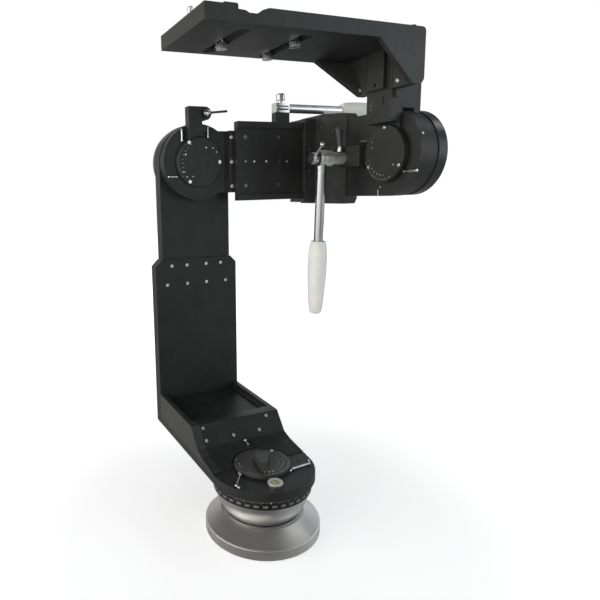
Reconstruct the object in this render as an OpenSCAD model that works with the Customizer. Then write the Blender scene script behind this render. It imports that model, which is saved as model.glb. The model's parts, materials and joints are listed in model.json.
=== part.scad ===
// Three-axis fluid video head: levelling base, pan, roll and tilt drag modules, camera platform and two pan bars.
// Millimetres, +Z up. The origin is on the pan axis at the underside of the base flange.

/* [Levelling base] */
// Radius of the base flange
flange_r = 90; // [86:1:96]
// Height of the base flange rim
flange_rim_h = 17; // [14:1:20]
// Radius of the levelling ball
ball_r = 75; // [74:0.5:76]
// Height of the ball centre above the flange underside
ball_z = 83; // [82:0.5:86]
// Thickness of the friction ring between ball and seat
level_ring_t = 3.7; // [3:0.1:4.5]
// Radius of the tie-down thread in the ball
tie_r = 5.1; // [4:0.1:6]

/* [Shafts and bearings] */
// Radius of the pan, roll and tilt shafts
shaft_r = 15; // [13:0.5:16]
// Outer radius of the shaft bearings
bearing_r = 24; // [22:0.5:26]
// Width of one shaft bearing
bearing_w = 9; // [7:0.5:9.5]

/* [Drag units] */
// Inner radius of the drag casings
casing_r = 58; // [56:0.5:60]
// Wall thickness of the roll and tilt drag casings
casing_wall = 8; // [6:0.5:9]
// Thickness of the drag casing floor
casing_floor = 2.5; // [2:0.25:3.5]
// Thickness of the rotor plate
rotor_t = 4; // [3:0.25:5]
// Height of the interleaved drag ribs
rib_h = 3.5; // [2.5:0.25:4.5]
// Radial thickness of a drag rib
rib_t = 4; // [3:0.25:4.4]
// Free play between rotor and casing
drag_gap = 1; // [0.6:0.1:1.2]
// Radius of the end boss on the roll and tilt drag caps
cap_boss_r = 50; // [46:1:54]
// Height of the end boss on the roll and tilt drag caps
cap_boss_h = 17.5; // [12:0.5:20]

/* [Pan module] */
// Outer radius of the graduated scale ring
scale_r = 76.5; // [74:0.5:79]
// Height of the graduated scale ring
scale_h = 15.5; // [15.5:0.5:19]
// Radius of the drag dials and cover discs
dial_r = 44; // [41:0.5:45]
// Thickness of the pan dial disc
dial_t = 5.7; // [4:0.5:7]
// Height of the grip bar on the pan dial
dial_grip_h = 12; // [8:0.5:14]
// Width of the grip bar on the pan dial
dial_grip_w = 26; // [20:0.5:30]
// Radius of the spirit level cup
level_r = 11.5; // [10:0.5:12.5]

/* [Leg and plates] */
// Width of the housing, leg and lower plate
arm_w = 164; // [162:1:172]
// Thickness of the pan housing and leg floor
housing_t = 14; // [12:0.5:17]
// Thickness of the leg cheeks
cheek_t = 14; // [10:0.5:16]
// Distance from the pan axis to the front of the plates
leg_y = 244; // [236:1:252]
// Height of the cheeks above the leg floor at the plates
cheek_h = 45; // [40:1:54]
// Thickness of the lower and upper plates
plate_t = 24; // [22:0.5:27]
// Height of the lower plate
lower_plate_h = 316; // [300:2:330]
// Length of the lap joint between the plates
lap_len = 72; // [66:1:80]
// Height of the roll and tilt axes
axis_z = 579; // [570:1:590]

/* [Roll module and cross arm] */
// Thickness of the roll link
link_t = 20; // [17:0.5:22]
// Radius of the round ends of the links
link_r = 67; // [66:0.5:69]
// Height of the straight part of the roll link
link_h = 110; // [100:1:114]
// Thickness of the cover discs
disc_t = 6; // [5:0.25:7]
// Height of the pad on the roll link that carries the box arm
link_pad = 11; // [9:0.5:13]
// Start of the box arm to the right of the pan axis
box_x = 66; // [62:1:70]
// Length of the box arm
box_len = 139; // [130:1:148]
// Thickness of the box arm web
box_web = 12; // [10:0.5:14]
// Height of the box arm
box_h = 140; // [136:1:146]
// Height of the box arm flanges
box_flange = 11; // [9:0.5:12]
// Depth of the inset face of the box arm
box_inset = 4; // [2:0.5:6]
// Height of the corner block
corner_h = 154; // [150:1:160]
// Thickness of the corner block wall behind the tilt link face
corner_t = 24; // [23:0.5:28]
// Step of the corner block wall in front of the tilt link face
corner_step = 2; // [1:0.5:2.5]

/* [Tilt module and camera arm] */
// Thickness of the tilt link
tilt_link_t = 22; // [20:0.5:24]
// Radius of the rear boss of the tilt link
boss_r = 34; // [32:0.5:36]
// Width of the front rail
rail_w = 52; // [46:1:56]
// Depth of the front rail
rail_t = 21.7; // [18:0.5:23]
// Thickness of the rear bar
back_bar_t = 12; // [10:0.5:14]
// Height of the rail top above the tilt axis
rail_top = 136; // [132:1:138]

/* [Camera platform] */
// Length of the platform across the view
platform_len = 342; // [320:2:360]
// Thickness of the platform plate
platform_t = 20; // [17:0.5:22]
// Nearest edge of the platform in front of the tilt axis
platform_near = 69; // [66:1:76]
// Farthest edge of the platform behind the tilt axis
platform_far = 86; // [82:1:92]
// Depth of the web below the platform plate
web_h = 57; // [50:1:60]
// Radius of the camera screw threads
camera_screw_r = 4.76; // [3.1:0.02:4.9]
// Height of the camera screws above the platform
camera_screw_h = 10; // [6:0.5:12]

/* [Pan bars] */
// Radius of the chrome pan bars
bar_r = 8; // [7:0.25:9]
// Length of the bare part of a pan bar
bar_len = 122; // [110:1:130]
// Length of a pan bar grip
grip_len = 125; // [115:1:130]
// Largest radius of a pan bar grip
grip_r = 17; // [15:0.25:18]
// Radius of the chrome spigot
spigot_r = 10; // [9:0.25:11]
// Lean of the first pan bar from the vertical
bar1_lean = 3; // [0:0.5:5]

/* [Hidden] */
$fn = 72;
run_gap = 0.03;
fit_gap = 0.02;
face_gap = 0.3;
slide_gap = 0.4;
swing_gap = 1;

seat_r = ball_r + level_ring_t + 2 * face_gap;
ball_low = ball_z - ball_r + 8;
seat_drop = 50;
seat_lip = 3;
ring_w = 16;
base_bore_r = 35;
lip_z = ball_z - seat_drop;
lip_r = sqrt(seat_r * seat_r - seat_drop * seat_drop) + seat_lip;
ring_low = lip_z - ring_w;
ring_high = lip_z;
pan_z = ball_z - 11;
nut_z = pan_z - 34;
nut_h = 5.5;

rotor_z = casing_floor + drag_gap;
rotor_r = casing_r - 4;
rotor_top = rotor_z + rotor_t;
cap_z = rotor_top + rib_h + drag_gap / 2;
cap_lip = 4;
drum_h = cap_z + cap_lip;
drum_r = casing_r + casing_wall;
shaft_hole_r = shaft_r + 1;
shaft_end = rotor_top + 0.5;

housing_r = arm_w / 2;
housing_z = pan_z + scale_h + 0.5;
floor_z = housing_z + housing_t;
inner_w = arm_w / 2 - cheek_t;
block_y = 110;
cover_t = 6;
cover_z = floor_z + 28;
dial_z = floor_z + face_gap;
level_d = dial_r + level_r + 6;
level_a = -101.2;
dial_room = 2.5;
ramp_end = 90;
ledge = 6;

lower_top = housing_z + lower_plate_h;
lap_z = lower_top - lap_len;
lap_y = leg_y + 10;
plate_y1 = leg_y + plate_t;
tongue_y = lap_y + 0.2;

link_y1 = leg_y - swing_gap;
link_y0 = link_y1 - link_t;
disc_y0 = link_y0 - disc_t;
box_x1 = box_x + box_len;
pad_y0 = link_y0 - link_pad;
pad_x0 = box_x - 10;
pad_x1 = box_x + 94;
web_y0 = pad_y0 - box_web;
flange_y0 = web_y0 - box_inset;
hole_r = 3.4;
box_screw_len = 34;
leg_screw_r = 3;
arm_screw_r = 3;
dowel_r = 2.4;
corner_y0 = 104;
corner_rise = 6;
corner_y1 = link_y1;

tilt_x = box_x1 + 27;
corner_x0 = tilt_x - corner_step;
corner_x1 = tilt_x + corner_t;
tilt_x1 = tilt_x + tilt_link_t;
back_x0 = tilt_x1 + swing_gap;
back_x1 = back_x0 + back_bar_t;
drum_x = back_x1 + swing_gap;
hub_r = dial_r;
hub_x0 = tilt_x - 6;
hub_x1 = tilt_x - 0.5;
disc_x0 = hub_x0 - disc_t;
rail_x1 = tilt_x - 3;
rail_x0 = rail_x1 - rail_t;
tongue_x0 = rail_x0 + 7.7;
tongue_x1 = tongue_x0 + 6;
bridge_h = 32;
apron_t = 8;
apron_z = link_r + 4;

web_x0 = rail_x0 - face_gap;
web_x1 = rail_x1;
platform_z = axis_z + rail_top + 13;
platform_x0 = web_x1 - platform_len;
platform_top = platform_z + platform_t;
web_z = platform_z - web_h;
slot_a_x = platform_x0 + 67;
slot_b_x = platform_x0 + 161;
slot_y0 = -38;
slot_y1 = 67;
screw_neck = 0.2;
slot_w = 2 * (camera_screw_r + screw_neck + 0.35);
counter_w = slot_w + 8;
counter_d = 3;

spigot_y = 86;
spigot_z = axis_z - 2;
bracket_x0 = hub_x0 - 16;
spigot_x0 = bracket_x0 - 34;
eye_r = 13;
eye_w = 18;
sleeve_z = 18;
sleeve_h = 14;
grip_seat = 38;
bar1_x = spigot_x0 - eye_w / 2;
post_x = box_x1 - 46.5;
post_y = (flange_y0 + pad_y0) / 2;
post_z = axis_z + box_h / 2;
post_w = 29;
post_d = pad_y0 - flange_y0 - 1;
post_h = 17;
clamp_z = post_z + post_h;
clamp_h = 17;
thread_seat = 0.5;

screw_edge = 6;
plate_top_x = inner_w - 18.2;
plate_mid_x = 19.6;
plate_low_x = inner_w - 8;
plate_screws_at = [
    [-plate_top_x, 12], [-plate_mid_x, 12], [plate_mid_x, 12], [plate_top_x, 12],
    [-plate_low_x, 47], [-plate_mid_x, 47], [plate_mid_x, 47], [plate_low_x, 47]
];
box_screws_at = [[box_x + 17, 43], [box_x + 86, 43], [box_x + 17, -43], [box_x + 86, -43]];
box_holes_at = [for (x = [17, 35, 60, 87.5, 104]) box_x + x];
corner_front_at = [21, -18, -48];
corner_side_at = [[39, 49], [39, 20], [39, -19], [39, -49], [73, 60]];
link_screws_at = [43.5, 0, -43.5];
slope_screws_at = [
    [screw_edge - inner_w, 11], [-12, 11], [inner_w - 31, 11],
    [screw_edge - inner_w, 32], [inner_w - screw_edge - 4, 32]
];
camera_screws_at = [[slot_a_x, 27], [slot_b_x, 62], [slot_b_x, -13]];

black = [0.06, 0.06, 0.065];
dark = [0.12, 0.12, 0.13];
silver = [0.66, 0.67, 0.68];
chrome_c = [0.8, 0.81, 0.83];
white_c = [0.9, 0.9, 0.88];
green_c = [0.72, 0.82, 0.25];

module box(lo, hi) {
    translate(lo) cube(hi - lo);
}

// The children's z axis turned along +X, their y kept along Y
module along_x(p) {
    translate(p) rotate([0, 90, 0]) children();
}

// The children's z axis turned along +Y, their x kept along X
module along_y(p) {
    translate(p) rotate([-90, 0, 0]) children();
}

// An outline of (Y, Z) points drawn out along X
module prism_x(x0, x1, pts) {
    translate([x0, 0, 0]) rotate([90, 0, 90]) linear_extrude(x1 - x0) polygon(pts);
}

// An outline of (X, Z) points drawn out along Y
module prism_y(y0, y1, pts) {
    translate([0, y1, 0]) rotate([90, 0, 0]) linear_extrude(y1 - y0) polygon(pts);
}

module tube(r_out, r_in, z0, z1) {
    translate([0, 0, z0]) difference() {
        cylinder(r = r_out, h = z1 - z0);
        translate([0, 0, -1]) cylinder(r = r_in, h = z1 - z0 + 2);
    }
}

// A disc with its upper edge chamfered
module edged_disc(r, z0, z1, c) {
    rotate_extrude() polygon([[0, z0], [r, z0], [r, z1 - c], [r - c, z1], [0, z1]]);
}

// Cap screw with its head below z = 0 and a hexagon socket in it
module cap_screw(head_r, head_h, shank_l) {
    difference() {
        union() {
            translate([0, 0, -head_h]) cylinder(r = head_r, h = head_h - 0.6);
            translate([0, 0, -head_h - shank_l]) cylinder(r = head_r * 0.55, h = shank_l + 0.1);
        }
        translate([0, 0, -head_h * 0.7]) cylinder(r = head_r * 0.5, h = head_h, $fn = 6);
    }
}

// The stepped hole that one cap screw sits in
module screw_hole(head_r, head_h, shank_l) {
    translate([0, 0, -head_h]) cylinder(r = head_r + 0.15, h = head_h + 1);
    translate([0, 0, -head_h - shank_l]) cylinder(r = head_r * 0.55 + fit_gap, h = shank_l + 1);
}

// Inner ribs of a drag unit, standing from z0 to z1
module drag_ribs(first, z0, z1) {
    for (i = [first : 10 : rotor_r - rib_t]) {
        tube(i + rib_t, i, z0, z1);
    }
}

module bearing_pair(z0, z1) {
    for (z = [z0, z1]) {
        tube(bearing_r, shaft_r + run_gap, z, z + bearing_w);
    }
}

// Bearing seats of a housing of thickness t, with a shoulder in the middle
module bearing_seats(t) {
    translate([0, 0, -1]) cylinder(r = bearing_r + fit_gap, h = bearing_w + 2.3);
    translate([0, 0, t - bearing_w - 1.3]) cylinder(r = bearing_r + fit_gap, h = bearing_w + 3);
    translate([0, 0, -1]) cylinder(r = bearing_r - 4, h = t + 2);
}

module drag_rotor() {
    difference() {
        union() {
            translate([0, 0, rotor_z]) cylinder(r = rotor_r, h = rotor_t);
            drag_ribs(20, rotor_top - 0.1, rotor_top + rib_h);
        }
        translate([0, 0, rotor_z - 1]) cylinder(r = shaft_r + fit_gap, h = rotor_t + 2);
    }
}

module drag_casing(r_out) {
    difference() {
        cylinder(r = r_out, h = drum_h);
        translate([0, 0, casing_floor]) cylinder(r = casing_r, h = drum_h);
        translate([0, 0, -1]) cylinder(r = shaft_hole_r, h = casing_floor + 2);
    }
}

module drag_cap() {
    translate([0, 0, cap_z]) cylinder(r = casing_r - 0.1, h = cap_lip);
    edged_disc(drum_r, drum_h, drum_h + 3, 1.5);
    drag_ribs(25, cap_z - rib_h, cap_z + 0.1);
    edged_disc(cap_boss_r, drum_h + 2, drum_h + 3 + cap_boss_h, 7);
}

// A chrome rod along a face from p, with a collar at its root and a bulb at its outer end
module lever_rod(p, angle, len) {
    translate([p[0], p[1], 2.4]) rotate([0, 0, angle]) rotate([0, 90, 0]) {
        cylinder(r = 1.6, h = len - 2);
        cylinder(r = 2.3, h = 3);
        translate([0, 0, len - 2.5]) sphere(r = 2.4);
    }
}

module base_flange() {
    color(silver) difference() {
        rotate_extrude() polygon([
            [base_bore_r, 0], [flange_r - 1.5, 0], [flange_r, 1.5], [flange_r, flange_rim_h - 1.5],
            [flange_r - 1.5, flange_rim_h], [lip_r, lip_z], [base_bore_r, lip_z]
        ]);
        translate([0, 0, ball_z]) sphere(r = seat_r);
    }
}

module level_ring() {
    color(dark) difference() {
        intersection() {
            translate([0, 0, ball_z]) sphere(r = ball_r + face_gap + level_ring_t);
            translate([0, 0, ring_low]) cylinder(r = ball_r, h = ring_high - ring_low);
        }
        translate([0, 0, ball_z]) sphere(r = ball_r + face_gap);
    }
}

module levelling_ball() {
    color(silver) difference() {
        intersection() {
            translate([0, 0, ball_z]) sphere(r = ball_r);
            translate([0, 0, ball_low]) cylinder(r = ball_r + 5, h = pan_z - ball_low);
        }
        translate([0, 0, nut_z + 6]) cylinder(r = bearing_r + fit_gap, h = pan_z);
        translate([0, 0, nut_z - 2]) cylinder(r = shaft_r + 4, h = 12);
        translate([0, 0, ball_low - 1]) cylinder(r = tie_r, h = 19);
    }
}

module pan_scale_ring() {
    color(black) translate([0, 0, pan_z]) difference() {
        edged_disc(scale_r, 0, scale_h, 1);
        translate([0, 0, casing_floor]) cylinder(r = casing_r, h = scale_h);
        translate([0, 0, -1]) cylinder(r = shaft_hole_r, h = casing_floor + 2);
    }
}

module pan_drag_lid() {
    color(dark) translate([0, 0, pan_z]) {
        tube(casing_r - 0.1, shaft_hole_r, cap_z, scale_h);
        drag_ribs(25, cap_z - rib_h, cap_z + 0.1);
    }
}

module pan_bearings() {
    color(silver) {
        bearing_pair(nut_z + 6, pan_z - bearing_w - 1);
        tube(bearing_r - 0.1, shaft_r + 4, nut_z + 6.1 + bearing_w, pan_z - bearing_w - 1.1);
    }
}

module pan_shaft() {
    color(silver) translate([0, 0, nut_z]) {
        cylinder(r = shaft_r, h = floor_z - 0.1 - nut_z);
        cylinder(r = shaft_r + 2.5, h = nut_h);
    }
}

module pan_drag_rotor() {
    color(silver) translate([0, 0, pan_z]) drag_rotor();
}

module pan_housing() {
    color(black) difference() {
        union() {
            translate([0, 0, housing_z]) edged_disc(housing_r, 0, housing_t, 1.2);
            box([-housing_r, 0, housing_z], [housing_r, leg_y, floor_z]);
        }
        translate([0, 0, housing_z - 1]) cylinder(r = shaft_r + fit_gap, h = housing_t + 2);
    }
}

// Side outline of the ramp in front of the leg, from its toe to its top
slope_top = floor_z + cheek_h - 2;
ramp = [[8, floor_z], [8, floor_z + 1], [48, floor_z + 7], [66, floor_z + 13], [ramp_end, slope_top]];
slope_a = atan2(ramp[4][1] - ramp[3][1], ramp[4][0] - ramp[3][0]);
toe_a = atan2(ramp[3][1] - ramp[2][1], ramp[3][0] - ramp[2][0]);

// Side wall of the leg with a ledge along its inner side, at the left for s = -1
module cheek(s) {
    difference() {
        prism_x(min(s * inner_w, s * housing_r), max(s * inner_w, s * housing_r), concat(ramp, [
            [leg_y, floor_z + cheek_h], [leg_y, floor_z]
        ]));
        translate([s * (inner_w - 1 + (ledge + 1) / 2), (block_y + leg_y) / 2 + 1, floor_z + cheek_h]) {
            cube([ledge + 1, leg_y - block_y + 2, 2 * ledge], center = true);
        }
    }
}

module left_cheek() {
    color(black) cheek(-1);
}

module right_cheek() {
    color(black) cheek(1);
}

// A place part way up the sloped front, z along its outward normal
module slope_place(p) {
    translate([p[0], ramp[3][0], ramp[3][1]]) rotate([slope_a, 0, 0]) translate([0, p[1], 0]) children();
}

module leg_cover() {
    color(black) difference() {
        prism_x(-inner_w, inner_w, concat(ramp, [
            [block_y, slope_top], [block_y, cover_z + cover_t], [leg_y, cover_z + cover_t],
            [leg_y, cover_z], [block_y, cover_z], [block_y, floor_z]
        ]));
        translate([0, 0, floor_z - 1]) cylinder(r = dial_r + dial_room, h = cheek_h);
        for (p = slope_screws_at) {
            slope_place(p) screw_hole(leg_screw_r, 4, 8);
        }
    }
}

module pan_screws() {
    color(dark) {
        for (p = plate_screws_at) {
            plate_screw_place(p) cap_screw(leg_screw_r, 4, 13);
        }
        for (p = slope_screws_at) {
            slope_place(p) cap_screw(leg_screw_r, 4, 8);
        }
    }
}

module level_place() {
    rotate([0, 0, level_a]) translate([level_d, 0, floor_z]) children();
}

module level_cup() {
    color(silver) level_place() difference() {
        edged_disc(level_r, 0, 5, 0.8);
        translate([0, 0, 1]) cylinder(r = level_r - 2.5, h = 6);
    }
}

module level_vial() {
    color(green_c) level_place() translate([0, 0, 1]) edged_disc(level_r - 2.6, 0, 3.2, 0.6);
}

module pan_dial() {
    color(black) translate([0, 0, dial_z]) {
        edged_disc(dial_r, 0, dial_t, 1.2);
        rotate([0, 0, 247]) intersection() {
            prism_y(-dial_grip_w / 2 - 1, dial_grip_w / 2 + 1, [
                [-13, dial_t - 0.5], [dial_r - 10, dial_t - 0.5], [dial_r - 10, dial_t + dial_grip_h - 5],
                [dial_r - 17, dial_t + dial_grip_h], [-9, dial_t + dial_grip_h], [-13, dial_t + dial_grip_h - 4]
            ]);
            linear_extrude(dial_t + dial_grip_h + 1) polygon([
                [-13, -dial_grip_w / 2], [-13, dial_grip_w / 2], [dial_r - 12, 4], [dial_r - 12, -4]
            ]);
        }
    }
}

module pan_lever_rods() {
    color(chrome_c) {
        for (a = [[198, 232], [-46, 5]]) {
            translate([0, 0, floor_z]) {
                lever_rod((dial_r + 3.8) * [cos(a[0]), sin(a[0])], a[1], housing_r - dial_r - 3);
            }
        }
        translate([3, ramp[2][0], ramp[2][1]]) rotate([toe_a, 0, 0]) lever_rod([0, 2], 90, 15);
    }
}

module plate_screw_place(p) {
    translate([p[0], leg_y, lower_top - p[1]]) rotate([90, 0, 0]) children();
}

module lower_plate() {
    color(black) difference() {
        prism_y(leg_y, plate_y1, [
            [-housing_r, housing_z], [housing_r, housing_z], [housing_r, lower_top - 12],
            [housing_r - 12, lower_top], [-housing_r + 12, lower_top], [-housing_r, lower_top - 12]
        ]);
        box([-inner_w - 0.2, lap_y, lap_z], [inner_w + 0.2, plate_y1 + 1, lower_top + 1]);
        for (p = plate_screws_at) {
            plate_screw_place(p) screw_hole(leg_screw_r, 4, 13);
        }
    }
}

module upper_plate() {
    color(black) difference() {
        union() {
            box([-inner_w, leg_y, lower_top + 0.5], [inner_w, plate_y1, axis_z]);
            box([-inner_w, tongue_y, lap_z + 0.3], [inner_w, plate_y1, lower_top + 1]);
            along_y([0, leg_y, axis_z]) cylinder(r = inner_w, h = plate_t);
        }
        along_y([0, leg_y, axis_z]) bearing_seats(plate_t);
        for (p = plate_screws_at) {
            plate_screw_place(p) screw_hole(leg_screw_r, 4, 13);
        }
    }
}

module roll_bearings() {
    color(silver) along_y([0, leg_y, axis_z]) bearing_pair(1, plate_t - bearing_w - 1);
}

module roll_drum() {
    color(black) along_y([0, plate_y1, axis_z]) drag_casing(drum_r);
}

module roll_drag_cap() {
    color(black) along_y([0, plate_y1, axis_z]) drag_cap();
}

module roll_shaft() {
    color(silver) along_y([0, link_y0, axis_z]) cylinder(r = shaft_r, h = plate_y1 + shaft_end - link_y0);
}

module roll_drag_rotor() {
    color(silver) along_y([0, plate_y1, axis_z]) drag_rotor();
}

module disc_screw_place(a) {
    rotate([0, 0, a]) translate([dial_r - 4.7, 0, 0]) children();
}

module roll_link() {
    color(black) difference() {
        union() {
            along_y([0, link_y0, axis_z]) linear_extrude(link_t) {
                circle(r = link_r);
                translate([0, -link_h / 2]) square([pad_x1, link_h]);
            }
            box([pad_x0, pad_y0, axis_z - link_h / 2], [pad_x1, link_y0 + 1, axis_z + link_h / 2]);
        }
        along_y([0, link_y0 - 1, axis_z]) cylinder(r = shaft_r + fit_gap, h = link_t + 2);
        for (z = link_screws_at) {
            link_screw_place(z) screw_hole(hole_r, 2, 12);
        }
        for (p = box_screws_at) {
            box_screw_place(p) screw_hole(hole_r, 4, box_screw_len);
        }
        along_y([0, link_y0, axis_z]) {
            for (a = [0, 120, 240]) {
                disc_screw_place(a) rotate([180, 0, 0]) translate([0, 0, disc_t]) screw_hole(3.2, 3, 12);
            }
        }
    }
}

module cover_disc() {
    difference() {
        translate([0, 0, disc_t]) rotate([180, 0, 0]) edged_disc(dial_r, 0, disc_t, 1.2);
        for (a = [0, 120, 240]) {
            disc_screw_place(a) rotate([180, 0, 0]) screw_hole(3.2, 3, 12);
        }
    }
}

module roll_cover_disc() {
    color(black) along_y([0, disc_y0, axis_z]) cover_disc();
}

bracket_t = 17;
bracket_w = 25;
bracket_x = -11.5;
bracket_top = 94;
bracket_y0 = link_y0 - bracket_t;
socket_r = 6;
socket_l = 23;
boss_r_out = 11.5;
boss_x = bracket_x + bracket_w / 2 + 6.5;
boss_z = axis_z + bracket_top - boss_r_out;
root_r = 8;

// Front outline of the bracket: stem, head with a round nose, and a root flared to the right
module bracket_outline() {
    translate([bracket_x - bracket_w / 2, dial_r - 10]) square([bracket_w, bracket_top - dial_r + 10]);
    translate([bracket_x, bracket_top - 2 * boss_r_out]) square([boss_x - bracket_x, 2 * boss_r_out]);
    translate([boss_x, bracket_top - boss_r_out]) circle(r = boss_r_out);
    translate([bracket_x + bracket_w / 2 + root_r / 2 - 0.5, link_r - root_r]) difference() {
        square([root_r + 1, 2 * root_r], center = true);
        translate([root_r / 2 + 0.5, root_r]) circle(r = root_r);
    }
}

module roll_bar_bracket() {
    color(black) difference() {
        translate([0, link_y0, axis_z]) rotate([90, 0, 0]) linear_extrude(bracket_t) bracket_outline();
        along_y([0, bracket_y0 - 1, axis_z]) cylinder(r = dial_r + 0.6, h = bracket_t + 2);
        along_y([boss_x, bracket_y0 - 1, boss_z]) cylinder(r = 5 + 0.05, h = bracket_t + 2);
        translate([bracket_x, bracket_y0 + bracket_t / 2, axis_z + bracket_top - socket_l]) {
            cylinder(r = socket_r, h = socket_l + 1);
        }
    }
}

module bracket_clamp_screw() {
    color(dark) {
        along_y([boss_x, bracket_y0 - 8, boss_z]) {
            cylinder(r = 5, h = bracket_t + 7);
            cylinder(r = 7, h = 7.7);
        }
        translate([boss_x, bracket_y0 - 4.2, boss_z]) rotate([0, 84, 0]) cylinder(r = 2, h = 40);
    }
}

module roll_lever_rods() {
    color(chrome_c) along_y([0, link_y0, axis_z]) mirror([0, 0, 1]) {
        for (p = [[-32, -36, -90, 22], [17.5, -42.5, -90, 20], [-43, 25, 180, 18]]) {
            lever_rod([p[0], p[1]], p[2], p[3]);
        }
    }
}

module link_screw_place(z) {
    translate([(pad_x0 + box_x) / 2, pad_y0, axis_z + z]) rotate([90, 0, 0]) children();
}

module box_screw_place(p) {
    translate([p[0], web_y0, axis_z + p[1]]) rotate([90, 0, 0]) children();
}

module box_arm() {
    color(black) difference() {
        prism_x(box_x, box_x1, [
            [flange_y0, axis_z + box_h / 2], [pad_y0, axis_z + box_h / 2],
            [pad_y0, axis_z - box_h / 2], [flange_y0, axis_z - box_h / 2],
            [flange_y0, axis_z - box_h / 2 + box_flange], [web_y0, axis_z - box_h / 2 + box_flange],
            [web_y0, axis_z + box_h / 2 - box_flange], [flange_y0, axis_z + box_h / 2 - box_flange]
        ]);
        for (x = box_holes_at) {
            along_y([x, web_y0 - 1, axis_z]) cylinder(r = dowel_r + fit_gap, h = box_web + 2);
        }
        for (p = box_screws_at) {
            box_screw_place(p) screw_hole(hole_r, 4, box_screw_len);
        }
    }
}

module corner_front_place(z) {
    translate([box_x1 + 10, flange_y0 - 2, axis_z + z]) rotate([90, 0, 0]) children();
}

module corner_side_place(p) {
    translate([corner_x0, corner_y0 + p[0], axis_z + p[1]]) rotate([0, -90, 0]) children();
}

module corner_block() {
    color(black) difference() {
        union() {
            box([box_x1, flange_y0 - 2, axis_z - corner_h / 2], [corner_x0 + 1, corner_y1, axis_z + corner_h / 2]);
            prism_x(corner_x0, corner_x1, [
                [corner_y1, axis_z - corner_h / 2 - 3], [corner_y0 + 6, axis_z - corner_h / 2 - 3],
                [corner_y0, axis_z - corner_h / 2 + 6], [corner_y0, axis_z + corner_h / 2 - 8],
                [corner_y0 + 8, axis_z + corner_h / 2], [corner_y0 + 66, axis_z + corner_h / 2 + corner_rise],
                [corner_y1, axis_z + corner_h / 2 + corner_rise]
            ]);
        }
        for (z = corner_front_at) {
            corner_front_place(z) screw_hole(arm_screw_r, 4, 12);
        }
        for (p = corner_side_at) {
            corner_side_place(p) screw_hole(arm_screw_r, 4, 12);
        }
    }
}

module arm_screws() {
    color(dark) {
        for (p = box_screws_at) {
            box_screw_place(p) cap_screw(hole_r, 4, box_screw_len);
        }
        for (z = corner_front_at) {
            corner_front_place(z) cap_screw(arm_screw_r, 4, 12);
        }
        for (p = corner_side_at) {
            corner_side_place(p) cap_screw(arm_screw_r, 4, 12);
        }
        for (z = link_screws_at) {
            link_screw_place(z) cap_screw(hole_r, 2, 12);
        }
        for (x = box_holes_at) {
            along_y([x, web_y0 + 0.4, axis_z]) cylinder(r = dowel_r, h = box_web - 1);
        }
        along_y([0, disc_y0, axis_z]) {
            for (a = [0, 120, 240]) {
                disc_screw_place(a) rotate([180, 0, 0]) cap_screw(3.2, 3, 12);
            }
        }
    }
}

module bar_post() {
    color(black) {
        box([post_x - post_w / 2, post_y - post_d / 2, post_z], [post_x + post_w / 2, post_y + post_d / 2, clamp_z]);
        translate([post_x, post_y, clamp_z - 1]) cylinder(r = 5, h = 7);
    }
}

module tilt_housing() {
    color(black) difference() {
        union() {
            along_x([tilt_x, 0, axis_z]) linear_extrude(tilt_link_t) {
                circle(r = link_r - 0.5);
                translate([-link_r + 0.5, 0]) square([2 * link_r - 1, corner_y0]);
            }
            along_x([tilt_x1 - 1, 0, axis_z]) cylinder(r = boss_r, h = drum_x - tilt_x1 + 1);
        }
        along_x([tilt_x, 0, axis_z]) bearing_seats(drum_x - tilt_x);
    }
}

module tilt_bearings() {
    color(silver) along_x([tilt_x, 0, axis_z]) bearing_pair(1, drum_x - tilt_x - bearing_w - 1);
}

module tilt_drum() {
    color(black) along_x([drum_x, 0, axis_z]) drag_casing(drum_r);
}

module tilt_drag_cap() {
    color(black) along_x([drum_x, 0, axis_z]) drag_cap();
}

module tilt_shaft() {
    color(silver) along_x([hub_x0, 0, axis_z]) cylinder(r = shaft_r, h = drum_x + shaft_end - hub_x0);
}

module tilt_drag_rotor() {
    color(silver) along_x([drum_x, 0, axis_z]) drag_rotor();
}

module arm_rail() {
    color(black) difference() {
        union() {
            along_x([hub_x0, 0, axis_z]) cylinder(r = hub_r, h = hub_x1 - hub_x0);
            box([hub_x0, -rail_w / 2, axis_z], [hub_x1, rail_w / 2, axis_z + apron_z]);
            box([hub_x0, 0, axis_z - 17], [hub_x1, spigot_y + 10, axis_z + 17]);
            box([rail_x0, -rail_w / 2, axis_z + dial_r + 1.5], [rail_x1, rail_w / 2, axis_z + rail_top]);
            box([tongue_x0, -rail_w / 2 - 4, axis_z + 80], [tongue_x1, rail_w / 2 + 4, axis_z + rail_top]);
        }
        along_x([hub_x0 - 1, 0, axis_z]) cylinder(r = shaft_r + fit_gap, h = 10);
    }
}

module arm_back_bar() {
    color(black) difference() {
        union() {
            along_x([back_x0, 0, axis_z]) cylinder(r = link_r - 2.5, h = back_bar_t);
            box([back_x0, -rail_w / 2, axis_z], [back_x1, rail_w / 2, axis_z + rail_top]);
            box([rail_x1, -rail_w / 2, axis_z + rail_top - bridge_h], [back_x0 + 1, rail_w / 2, axis_z + rail_top]);
            box([rail_x1, -rail_w / 2, axis_z + apron_z], [back_x0 + 1, apron_t - rail_w / 2, axis_z + rail_top]);
        }
        along_x([back_x0 - 1, 0, axis_z]) cylinder(r = boss_r + 0.05, h = back_bar_t + 2);
    }
}

module tilt_cover_disc() {
    color(black) along_x([disc_x0, 0, axis_z]) rotate([0, 0, 180]) cover_disc();
}

module tilt_bar_bracket() {
    color(black) box([bracket_x0, dial_r + 0.6, axis_z - 17], [hub_x0, spigot_y + 10, axis_z + 17]);
}

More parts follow.
